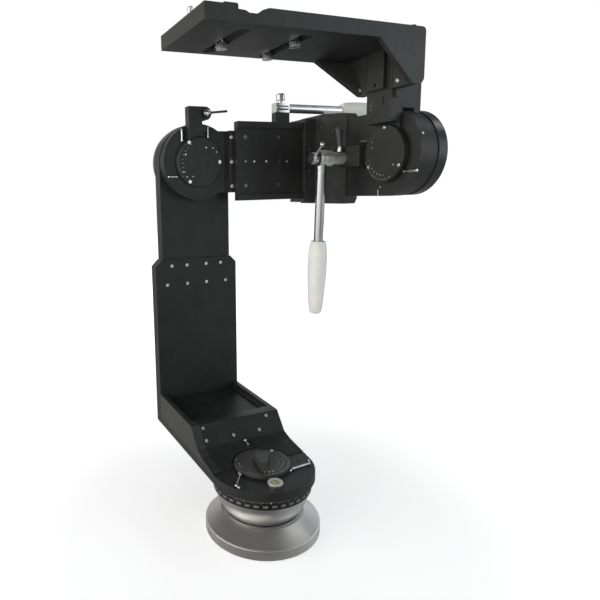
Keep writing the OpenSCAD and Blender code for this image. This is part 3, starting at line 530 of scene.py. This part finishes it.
# Fronts of the cover discs and top of the dial, with local z facing out
DIAL_PLATE = 0.0057
lo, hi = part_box("roll_cover_disc")
ROLL = axes(((lo.x + hi.x) / 2, lo.y, (lo.z + hi.z) / 2), (1, 0, 0), (0, 0, 1))
lo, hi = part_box("tilt_cover_disc")
TILT = axes((lo.x, (lo.y + hi.y) / 2, (lo.z + hi.z) / 2), (0, -1, 0), (0, 0, 1))
AXIS_Z = (lo.z + hi.z) / 2
lo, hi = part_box("pan_dial")
DIAL_R = (hi.x - lo.x) / 2
PAN = axes((0, 0, lo.z + DIAL_PLATE), (1, 0, 0), (0, 1, 0))
FLOOR_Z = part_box("pan_housing")[1].z
RING_LO, RING_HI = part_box("pan_scale_ring")
RING_R = RING_HI.x


# Graduated scale ring

FIRST_FIGURE = 210
MARK_LIFT = 0.00006
LONG_TICK, SHORT_TICK, TICK_HALF = 0.0042, 0.0026, 0.00022
INDEX_ANGLE, INDEX_Z = -19.6, 0.0833


def on_ring(angle, z):
    """A place on the outside of the scale ring, local z facing out."""
    a = math.radians(angle)
    out = RING_R + MARK_LIFT
    return axes((out * math.sin(a), -out * math.cos(a), z), (math.cos(a), math.sin(a), 0), (0, 0, 1))


def scale_marks():
    """Ticks, figures and the index dot of the ring."""
    bm = bmesh.new()
    top = RING_HI.z - 0.0018
    for degree in range(0, 360, 2):
        tall = LONG_TICK if degree % 10 == 0 else SHORT_TICK
        bar_mesh(bm, on_ring(degree, 0), (-TICK_HALF, top - tall, -0.0001), (TICK_HALF, top, 0))
    finish_mesh("scale_ticks", bm, "ball", FIGURE)
    bm = bmesh.new()
    for degree in range(0, 360, 10):
        figure = "%03d" % ((FIRST_FIGURE - degree) % 360)
        add_text(bm, figure, 0.0048, on_ring(degree + 4, RING_LO.z + 0.0050))
    finish_mesh("scale_figures", bm, "ball", FIGURE)
    bm = bmesh.new()
    place = on_ring(INDEX_ANGLE, INDEX_Z)
    lathe(bm, [(0.0009, -0.0001), (0.0009, 0.0001), (0.0007, 0.0002), (0, 0.00022)], place, 20)
    finish_mesh("scale_index_dot", bm, "ball", PAINT)


def seat_ring():
    """Flat wiper ring round the levelling ball."""
    bm = bmesh.new()
    lathe(bm, [
        (0.0613, 0.0329), (0.0610, 0.0333), (0.0600, 0.0335),
        (0.0580, 0.0336), (0.0575, 0.0335), (0.0573, 0.0330),
    ], Matrix(), 128)
    finish_mesh("seat_wiper", bm, "seat", SILVER)


scale_marks()
seat_ring()


# Pan dial, its rods and the spirit level

# Height of the rods over the housing, radius of their roots, length, and radius of the bends at the root
ROD_LIFT, ROD_ROOT_R, ROD_LENGTH, ROD_BEND_R = 0.0024, 0.0478, 0.0325, 0.0015
# Radius and first angle of the two rows of figures, and the angle between figures
OUTER_R, OUTER_START = 0.0335, -112
INNER_R, INNER_START = 0.0265, -66
FIGURE_PITCH = 11


def dial_marks():
    """Two rows of setting figures, short ticks at the rim, and a screw."""
    bm = bmesh.new()
    for i in range(10):
        size = 0.0062 if i in (1, 2) else 0.0044
        add_text(bm, str((i + 8) % 10), size, around(PAN, OUTER_R, OUTER_START + FIGURE_PITCH * i, 90))
    for i in range(7):
        add_text(bm, str(i + 1), 0.0034, around(PAN, INNER_R, INNER_START + FIGURE_PITCH * i, 90))
    for degree in range(-150, 20, 6):
        turn = PAN @ spun(degree + 90)
        bar_mesh(bm, turn, (-0.0002, -DIAL_R + 0.0016, 0), (0.0002, -DIAL_R + 0.0042, 0.00008))
    for x, y in ((-0.0344, 0.0215), (-0.0360, 0.0082), (-0.0381, 0.0007)):
        paint_dot(bm, PAN @ moved(x, y), 0.0011)
    finish_mesh("pan_dial_figures", bm, "dial", PAINT)
    bm = bmesh.new()
    screw_mesh(bm, PAN @ moved(0.031, 0.0225, -0.0002), 0.0026, 0.0017)
    finish_mesh("pan_dial_screw", bm, "dial", ZINC)


def rod_tips():
    """Upturned ends and root fittings of the two long lever rods beside the dial."""
    bm = bmesh.new()
    for root_angle, way, tip_r, tip_bends, root_bends in (
        (-46, 5, 0.0016, [(0, 0, 0), (0.003, 0.0035, 0.0008), (0.0055, 0.009, 0.001)],
         [(0, 0.0005, 0), (-0.004, -0.0035, 0), (-0.007, -0.0045, 0)]),
        (198, 232, 0.0021, [(0, 0, 0), (0.0008, -0.005, 0), (0.0012, -0.009, 0)],
         [(0, 0, 0), (-0.0005, 0.004, 0), (0.002, 0.008, 0)]),
    ):
        root = Vector((*polar(ROD_ROOT_R, root_angle), FLOOR_Z + ROD_LIFT))
        tip = root + ROD_LENGTH * Vector((*polar(1, way), 0))
        wire(bm, [tip + Vector(step) for step in tip_bends], tip_r)
        wire(bm, [root + Vector(step) for step in root_bends], ROD_BEND_R)
    finish_mesh("pan_rod_bends", bm, "pan", CHROME)


def spirit_level():
    """Bezel, window and bubble of the level in its cup."""
    lo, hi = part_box("level_cup")
    place = axes(((lo.x + hi.x) / 2, (lo.y + hi.y) / 2, hi.z), (1, 0, 0), (0, 1, 0))
    bm = bmesh.new()
    lathe(bm, [
        (0.0110, -0.0006), (0.0110, 0.0006), (0.0104, 0.0011),
        (0.0064, 0.0006), (0.0058, 0.0001), (0.0058, -0.0006),
    ], place, 64)
    finish_mesh("level_bezel", bm, "pan", CREAM)
    bm = bmesh.new()
    lathe(bm, [(0.0057, -0.0005), (0.0045, -0.0001), (0.0024, 0.00015), (0, 0.00022)], place, 40)
    finish_mesh("level_window", bm, "pan", VIAL)
    bm = bmesh.new()
    lathe(bm, [(0.0024, 0.0001), (0.00215, 0.00038), (0.0019, 0.0001)], place @ moved(0.0008, 0.0005), 32)
    lathe(bm, [(0.0036, 0.0), (0.0034, 0.0003), (0.0032, 0.0)], place, 40)
    finish_mesh("level_bubble", bm, "pan", OXIDE)


def housing_holes():
    """Small sunk screws in the pan housing beside the dial, drawn as flat near-black discs: painted shade
    for their recesses.
    """
    bm = bmesh.new()
    for x, y in ((0.058, 0.004), (0.058, -0.0132)):
        place = axes((x, y, FLOOR_Z), (1, 0, 0), (0, 1, 0))
        lathe(bm, [(0.0024, 0.00002), (0.0021, 0.00012), (0.0012, 0.00006), (0, 0.00005)], place, 24)
    finish_mesh("housing_screws", bm, "pan", HOLE_SHADE)


dial_marks()
rod_tips()
spirit_level()
housing_holes()


# Round cover discs

# Radius, angle between and number of the figures on a disc
DISC_ROW_R, DISC_PITCH, FIGURES = 0.0335, 13, 7


def disc_marks(name, place, body, start, dots):
    """Filled setting dots of (x, y, radius), and small figures along part of the rim."""
    bm = bmesh.new()
    for x, y, size in dots:
        lathe(bm, [(size, 0), (size, 0.00012), (0, 0.0002)], place @ moved(x, y), 18)
    finish_mesh(name + "_dots", bm, body, ZINC)
    bm = bmesh.new()
    for i in range(FIGURES):
        add_text(bm, str(i + 1), 0.0032, around(place, DISC_ROW_R, start + DISC_PITCH * i, -90))
    for i in range(2 * FIGURES):
        turn = place @ spun(start + DISC_PITCH / 2 * i)
        bar_mesh(bm, turn, (0.0398, -0.00015, 0), (0.0418, 0.00015, 0.00008))
    finish_mesh(name + "_figures", bm, body, PAINT)


def disc_lines(name, place, body, material):
    """Fine turned lines on a cover disc."""
    foot, top, lift = 0.00035, 0.0002, 0.0001
    bm = bmesh.new()
    for r in (0.0365, 0.0152):
        lathe(bm, [(r - foot, 0), (r - top, lift), (r + top, lift), (r + foot, 0)], place, 96)
    finish_mesh(name, bm, body, material)


def tilt_disc_screws():
    """Screws that hold the tilt disc; the roll disc's are solids."""
    bm = bmesh.new()
    for angle in (90, 210, 330):
        screw_mesh(bm, TILT @ spun(angle) @ moved(0.0393, 0, -0.003), 0.0031, 0.0027)
    finish_mesh("tilt_disc_screws", bm, "tilt", ZINC)


disc_marks("roll_disc", ROLL, "roll", 132, [
    (-0.0273, 0.0132, 0.0013), (0.0124, 0.0254, 0.0013), (-0.0320, -0.0170, 0.0011),
    (-0.0141, -0.0250, 0.0010), (-0.0256, -0.0257, 0.0010), (0.0329, 0.0176, 0.0011),
    (0.0261, 0.0246, 0.0009), (-0.0170, 0.0310, 0.0008),
])
disc_marks("tilt_disc", TILT, "tilt", 196, [
    (0.0230, -0.0185, 0.0013), (-0.0265, 0.0100, 0.0012), (-0.0119, -0.0307, 0.0010),
    (-0.0269, 0.0196, 0.0009), (0.0153, -0.0370, 0.0009), (-0.0060, -0.0330, 0.0007),
])
disc_lines("roll_disc_lines", ROLL, "roll", ROLL_DISC)
disc_lines("tilt_disc_lines", TILT, "tilt", TILT_DISC)
tilt_disc_screws()


# Camera arm, cross arm and drag caps

# Left face of the platform's web, front of the box arm's web, and the dowels along that
WEB_X = low_corner("rail_cover").x + 0.007
WEB_Y = 0.200
BOX_DOTS = (0.101, 0.126, 0.170)
# Left and right of the filler below the arm's side wall, its top, the radius that clears the tilt link,
# and the lower tilt limit in degrees
APRON_X = (0.2293, 0.2549)
APRON_TOP = AXIS_Z + 0.0712
APRON_CLEAR = 0.0692
TILT_LOW = 35
# The sleeves on the tilt rods, and the screw on the rim of the tilt link
SLEEVE_X = 0.2289
RIM_R, RIM_SCREW_X, RIM_SCREW_ANGLE = 0.0669, 0.238, 22


def facing_left(x):
    """A plane across x that faces the left, with local x towards the viewer and local y up."""
    return axes((x, 0, 0), (0, -1, 0), (0, 0, 1))


def arm_marks():
    """Height scale, slot and stop groove on the left of the arm, and the index line of the tilt link."""
    face = facing_left(low_corner("arm_rail").x)
    bm = bmesh.new()
    for i in range(7):
        wide = 0.008 if i % 3 == 0 else 0.005
        z = 0.6455 + 0.0019 * i
        bar_mesh(bm, face, (-0.0195, z, 0), (-0.0195 + wide, z + 0.00045, 0.00008))
    finish_mesh("arm_scale", bm, "tilt", FAINT)
    # The slot and the groove are flat near-black patches: painted shade for their recesses.
    bm = bmesh.new()
    bar_mesh(bm, face, (0.0098, 0.6505, 0.00001), (0.0132, 0.6632, 0.00012))
    groove = face @ moved(-0.0105, 0.635) @ spun(30)
    bar_mesh(bm, groove, (-0.0098, -0.0008, 0.00001), (0.0098, 0.0008, 0.0001))
    finish_mesh("arm_slots", bm, "tilt", HOLE_SHADE)
    link = facing_left(low_corner("tilt_housing").x)
    bm = bmesh.new()
    bar_mesh(bm, link, (-0.0231, 0.5109, 0), (-0.0221, 0.5228, 0.0001))
    paint_dot(bm, link @ moved(-0.0177, 0.5269), 0.0010)
    finish_mesh("tilt_index", bm, "roll", PAINT)


def web_screws():
    """Screws that hold the platform to the arm."""
    bm = bmesh.new()
    for y, z in ((0.0426, 0.6799), (-0.0411, 0.6798)):
        screw_mesh(bm, axes((WEB_X, y, z), (0, -1, 0), (0, 0, 1)), 0.0033, 0.0022)
    finish_mesh("web_screws", bm, "platform", ZINC)


def web_plate():
    """Thin slide plate behind the cover strip, rim of a slot under the platform, and a pale sheet on the
    far gusset that paints light into its shaded pocket.
    """
    low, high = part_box("rail_cover")
    plate = facing_left(WEB_X - 0.0001)
    bm = bmesh.new()
    bar_mesh(bm, plate, (-0.0300, low.z - 0.0004, 0), (0.0300, high.z - 0.0003, 0.0005))
    bar_mesh(bm, plate, (-0.0278, low.z + 0.0010, 0.0005), (0.0278, high.z - 0.0006, 0.0008))
    finish_mesh("web_slide_plate", bm, "platform", BLACK)
    under = axes((0.166, -0.041, high.z + 0.0002), (1, 0.18, 0), (0.18, -1, 0))
    bm = bmesh.new()
    stretch = Matrix.Diagonal((3.1, 1, 1, 1))
    lathe(bm, [(0.0040, 0), (0.0039, 0.0005), (0.0031, 0.0006), (0.0030, 0.0003)], under @ stretch, 40)
    finish_mesh("platform_slot_rim", bm, "platform", OXIDE)
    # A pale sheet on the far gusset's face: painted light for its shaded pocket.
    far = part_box("camera_platform")[1].y
    corners = [
        (WEB_X - 0.0560, far - 0.0118, high.z), (WEB_X - 0.0022, far - 0.0460, low.z + 0.0002),
        (WEB_X - 0.0003, far - 0.0460, low.z + 0.0002), (WEB_X - 0.0003, far - 0.0118, high.z),
    ]
    bm = bmesh.new()
    slab(bm, corners, [(x, y - 0.0006, z) for x, y, z in corners])
    finish_mesh("gusset_light_sheet", bm, "platform", POCKET_LIGHT)


def apron_filler():
    """Lower end of the arm's side wall, cut to clear the tilt link at the lower tilt limit."""
    low = []
    for angle in (22.0, 20.5, 19.0, 17.5, 16.0):
        a = math.radians(angle)
        r = APRON_CLEAR / math.cos(math.radians(TILT_LOW - angle))
        low.append((-r * math.sin(a), AXIS_Z + r * math.cos(a)))
    outline = [(low[0][0], APRON_TOP)] + low + [(low[-1][0] + 0.001, APRON_TOP)]
    bm = bmesh.new()
    slab(bm, *[[(x, y, z) for y, z in outline] for x in APRON_X])
    finish_mesh("apron_end", bm, "tilt", BLACK)


def rod_sleeves():
    """Plated sleeves on the ends of the tilt lever rods, and a screw on the rim of the tilt link."""
    bm = bmesh.new()
    for y, z, run in ((-0.0470, AXIS_Z - 0.0290, -0.0165), (0.0520, AXIS_Z + 0.0230, 0.0105)):
        place = axes((SLEEVE_X, y, z), (0, 0, 1), (1, 0, 0))
        lathe(bm, [
            (0.0017, 0), (0.0026, 0.02 * run), (0.0027, 0.5 * run),
            (0.0026, 0.96 * run), (0.0016, run), (0, run),
        ], place, 24)
    finish_mesh("tilt_rod_sleeves", bm, "tilt", CHROME)
    bm = bmesh.new()
    a = math.radians(RIM_SCREW_ANGLE)
    out = Vector((0, -math.cos(a), math.sin(a)))
    spot = Vector((RIM_SCREW_X, 0, AXIS_Z)) + RIM_R * out
    screw_mesh(bm, axes(spot, (1, 0, 0), out.cross(Vector((1, 0, 0)))), 0.0021, 0.0009)
    finish_mesh("tilt_link_screw", bm, "roll", ZINC)


def box_dots():
    """Bright dowel ends along the middle of the box arm."""
    bm = bmesh.new()
    for x in BOX_DOTS:
        place = axes((x, WEB_Y, AXIS_Z), (1, 0, 0), (0, 0, 1))
        lathe(bm, [(0.0019, 0), (0.0019, 0.0003), (0.0014, 0.0006), (0, 0.0007)], place, 20)
    finish_mesh("box_dowel_ends", bm, "roll", ARM_DOT)


def cap_screws():
    """Six socket screws round the flange of each drag cap, below its boss."""
    boss, circle = 0.0175, 0.0578
    side = Vector((0, 0, 1))
    for name, body, way in (("roll", "pan", (0, 1, 0)), ("tilt", "roll", (1, 0, 0))):
        lo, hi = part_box(name + "_drag_cap")
        centre = (lo + hi) / 2
        back = Vector([h - boss if w else c for h, c, w in zip(hi, centre, way)])
        place = axes(back, side, Vector(way).cross(side))
        bm = bmesh.new()
        for i in range(6):
            screw_mesh(bm, place @ spun(60 * i + 15) @ moved(circle, 0, -0.0002), 0.0031, 0.0026)
        finish_mesh(name + "_cap_screws", bm, body, OXIDE)


arm_marks()
web_screws()
web_plate()
apron_filler()
rod_sleeves()
box_dots()
cap_screws()


# Clamps, knobs and camera screws

# Places of the eye on bar 1, the spigot lever and the bracket's clamp screw
BAR1_X, BAR1_Z = 0.167, 0.577
LEVER_XY = (0.203, 0.086)
CLAMP_X = 0.0075


def lever_sleeve():
    """Plated sleeve at the foot of the spigot clamp lever."""
    place = axes((*LEVER_XY, low_corner("spigot_clamp_lever").z), (1, 0, 0), (0, 1, 0))
    bm = bmesh.new()
    lathe(bm, [
        (0.0036, 0.0006), (0.0052, 0.0006), (0.0052, 0.003), (0.0044, 0.0038),
        (0.0044, 0.0088), (0.0050, 0.0098), (0.0036, 0.0105),
    ], place, 32)
    finish_mesh("lever_sleeve", bm, "spigot_lever", CHROME)


def clamp_cap():
    """Domed cap on the bracket's clamp screw."""
    lo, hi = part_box("bracket_clamp_screw")
    place = axes((CLAMP_X, lo.y, (lo.z + hi.z) / 2), (1, 0, 0), (0, 0, 1))
    bm = bmesh.new()
    lathe(bm, [(0.0052, -0.0002), (0.0050, 0.0006), (0.0038, 0.0013), (0, 0.0016)], place, 32)
    finish_mesh("clamp_cap", bm, "bracket_screw", CHROME)


def bar_eye():
    """Bright shell of the eye on bar 1, and a band round its lock knob."""
    lo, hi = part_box("bar_spigot")
    eye = axes((BAR1_X, (lo.y + hi.y) / 2, BAR1_Z), (0, 1, 0), (0, 0, 1))
    bm = bmesh.new()
    lathe(bm, [
        (0.0128, -0.0089), (0.0133, -0.0084), (0.0134, -0.0020), (0.0131, -0.0016),
        (0.0131, 0.0016), (0.0134, 0.0020), (0.0133, 0.0084), (0.0128, 0.0089),
    ], eye, 48)
    finish_mesh("bar1_eye_shell", bm, "bar1", EYE)
    knob = eye @ moved(0, 0, low_corner("bar1_lock_lever").x - BAR1_X)
    bm = bmesh.new()
    lathe(bm, [(0.0094, 0.0016), (0.0097, 0.0022), (0.0097, 0.0060), (0.0094, 0.0066)], knob, 40)
    finish_mesh("bar1_knob_band", bm, "bar1_lock", EYE)


def camera_knurl(letter):
    """Straight knurling round the head of a camera screw."""
    lo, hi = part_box("camera_screw_" + letter)
    low, high, slope = 0.0012, 0.0088, 0.0006
    inner, outer = (hi.x - lo.x) / 2 - 0.0008, (hi.x - lo.x) / 2 + 0.0003
    place = axes(((lo.x + hi.x) / 2, (lo.y + hi.y) / 2, lo.z), (1, 0, 0), (0, 1, 0))
    bm = bmesh.new()
    profile = [(inner, low), (outer, low + slope), (outer, high - slope), (inner, high)]
    lathe(bm, profile, place, 72, wave=0.0004)
    finish_mesh("camera_knurl_" + letter, bm, "screw_" + letter, CHROME, smooth=20)


lever_sleeve()
clamp_cap()
bar_eye()
for letter in "abc":
    camera_knurl(letter)


# Stage, light and camera

FLOOR_HALF = 6.0
FLOOR_DROP = 0.0005


def floor_material():
    """Pale and white to the camera; for other rays a patch of painted shade in front, and a glowing ring
    beside the base that paints light into the base's reflections.
    """
    s = Shader("floor").put(Roughness=0.9)
    s.colour(s.ramp(s.noise(3, detail=2), (0.3, (0.86, 0.86, 0.86)), (0.7, (0.89, 0.89, 0.89))))
    far = s.vector("LENGTH", s.place)
    white = s.added(s.bsdf.outputs["BSDF"], s.glow(s.spread(far, 0.5, 1.0, start=0.3, end=1.1)))
    narrow = s.vector("MULTIPLY", s.place, (4.0, 1.0, 1.0))
    near = s.vector("DISTANCE", narrow, (-0.25, -0.5, 0.0))
    aside = s.spread(near, 0.0, 1.0, start=0.36, end=0.62)
    # For other rays the floor is darker in front: painted shade for what the parts reflect.
    dull = s.node("ShaderNodeBsdfDiffuse")
    s.link(s.mix(aside, (0.24, 0.24, 0.235), (0.82, 0.82, 0.80)), dull.inputs["Color"])
    # A glow round the base for other rays only: painted light for the flange rim's reflection.
    painted_skirt_light = s.math("MULTIPLY", s.spread(far, 0.25, 0.0, start=0.10, end=0.17), aside)
    lit = s.added(dull.outputs["BSDF"], s.glow(painted_skirt_light))
    blend = s.node("ShaderNodeMixShader")
    s.link(s.node("ShaderNodeLightPath").outputs["Is Camera Ray"], blend.inputs["Fac"])
    s.link(lit, blend.inputs[1])
    s.link(white, blend.inputs[2])
    s.link(blend.outputs["Shader"], s.tree.nodes["Material Output"].inputs["Surface"])
    return s.mat


def stage():
    """A square floor just below the part."""
    a = FLOOR_HALF
    mesh = bpy.data.meshes.new("floor")
    mesh.from_pydata([(-a, -a, 0), (a, -a, 0), (a, a, 0), (-a, a, 0)], [], [(0, 1, 2, 3)])
    floor = bpy.data.objects.new("floor", mesh)
    bpy.context.scene.collection.objects.link(floor)
    floor.location.z = -FLOOR_DROP
    mesh.materials.append(floor_material())


def lamp(name, place, aim, size, power, tall=None, tint=(1, 1, 1)):
    """A rectangular lamp that the camera doesn't see."""
    data = bpy.data.lights.new(name, "AREA")
    data.energy = power
    data.color = tint
    data.shape = "RECTANGLE"
    data.size = size
    data.size_y = tall or size
    made = bpy.data.objects.new(name, data)
    made.location = place
    made.rotation_euler = (Vector(aim) - Vector(place)).to_track_quat("-Z", "Y").to_euler()
    made.visible_camera = False
    bpy.context.scene.collection.objects.link(made)


def world():
    """White to the camera; for all other rays a dim room, brighter to the sides and cooler to the right."""
    made = bpy.data.worlds.new("studio")
    bpy.context.scene.world = made
    made.use_nodes = True
    tree = made.node_tree
    back = tree.nodes["Background"]
    coord = tree.nodes.new("ShaderNodeTexCoord")
    split = tree.nodes.new("ShaderNodeSeparateXYZ")
    tree.links.new(coord.outputs["Generated"], split.inputs[0])
    seen = tree.nodes.new("ShaderNodeLightPath").outputs["Is Camera Ray"]

    def span(name, start, end, low, high):
        node = tree.nodes.new("ShaderNodeMapRange")
        node.interpolation_type = "SMOOTHSTEP"
        for key, value in (("From Min", start), ("From Max", end), ("To Min", low), ("To Max", high)):
            node.inputs[key].default_value = value
        tree.links.new(split.outputs[name], node.inputs["Value"])
        return node.outputs["Result"]

    def join(kind, a, b):
        node = tree.nodes.new("ShaderNodeMath")
        node.operation = kind
        tree.links.new(a, node.inputs[0])
        tree.links.new(b, node.inputs[1])
        return node.outputs[0]

    def blend(fac):
        node = tree.nodes.new("ShaderNodeMix")
        node.data_type = "RGBA"
        tree.links.new(fac, node.inputs[MIX_FAC])
        return node

    sides = join("ADD", span("X", 0.35, 0.9, 0.75, 1.3), span("X", -0.95, -0.3, 0.9, 0.0))
    sides = join("ADD", sides, span("Y", 0.2, 0.8, 0.0, -0.1))
    room = join("MULTIPLY", sides, span("Z", 0.12, 0.5, 1.0, 0.2))
    tone = blend(span("X", 0.0, 0.8, 0.0, 1.0))
    tone.inputs[MIX_A].default_value = (1.0, 0.99, 0.955, 1)
    tone.inputs[MIX_B].default_value = (0.93, 0.99, 1.07, 1)
    plain = blend(seen)
    tree.links.new(tone.outputs[MIX_OUT], plain.inputs[MIX_A])
    plain.inputs[MIX_B].default_value = (1, 1, 1, 1)
    tree.links.new(plain.outputs[MIX_OUT], back.inputs["Color"])
    tree.links.new(join("MAXIMUM", seen, room), back.inputs["Strength"])


# The camera fitted to the photo: pixels, metres and degrees
PHOTO_PX, FOCAL_PX, CENTRE_PX = 600, 539.2, (194.8, 284.6)
SENSOR = 36.0
CAMERA_AT = (-0.3899, -0.6891, 0.5276)
CAMERA_TURN, CAMERA_DOWN, CAMERA_ROLL = -22.4, 9.8, -1.5


def camera():
    """The camera at the photo's place and angle."""
    data = bpy.data.cameras.new("camera")
    data.sensor_width = SENSOR
    data.lens = FOCAL_PX / PHOTO_PX * SENSOR
    data.shift_x = (PHOTO_PX / 2 - CENTRE_PX[0]) / PHOTO_PX
    data.shift_y = -(PHOTO_PX / 2 - CENTRE_PX[1]) / PHOTO_PX
    data.clip_start = 0.01
    made = bpy.data.objects.new("camera", data)
    az, down, roll = [math.radians(a) for a in (CAMERA_TURN, CAMERA_DOWN, CAMERA_ROLL)]
    right = Vector((math.cos(az), math.sin(az), 0))
    ahead = Vector((-math.sin(az) * math.cos(down), math.cos(az) * math.cos(down), -math.sin(down)))
    up = right.cross(ahead)
    x = right * math.cos(roll) + up * math.sin(roll)
    y = up * math.cos(roll) - right * math.sin(roll)
    z = -ahead
    rows = [(x[i], y[i], z[i], CAMERA_AT[i]) for i in range(3)]
    made.matrix_world = Matrix((*rows, (0, 0, 0, 1)))
    bpy.context.scene.collection.objects.link(made)
    bpy.context.scene.camera = made


stage()
world()
lamp("window", (1.6, -1.6, 0.8), (0.15, 0.0, 0.6), size=2.1, power=12, tall=1.3, tint=(0.86, 0.95, 1.0))
lamp("side", (-2.1, -0.1, 0.7), (0.0, 0.05, 0.40), size=2.3, power=24, tall=1.3)
lamp("top", (0.1, 0.9, 2.4), (0.1, 0.1, 0.4), size=1.6, power=2.5)
lamp("glint", (1.35, -0.25, 1.6), (0.3, 0.0, 0.58), size=0.5, power=2, tall=0.25)
lamp("bounce", (-1.2, -1.7, 0.25), (0.2, 0.05, 0.65), size=1.7, power=6, tall=0.45, tint=(1.0, 0.99, 0.96))
lamp("back", (0.6, 2.4, 1.3), (0.1, 0.1, 0.5), size=1.8, power=9)
camera()
bpy.context.scene.view_settings.view_transform = "Standard"
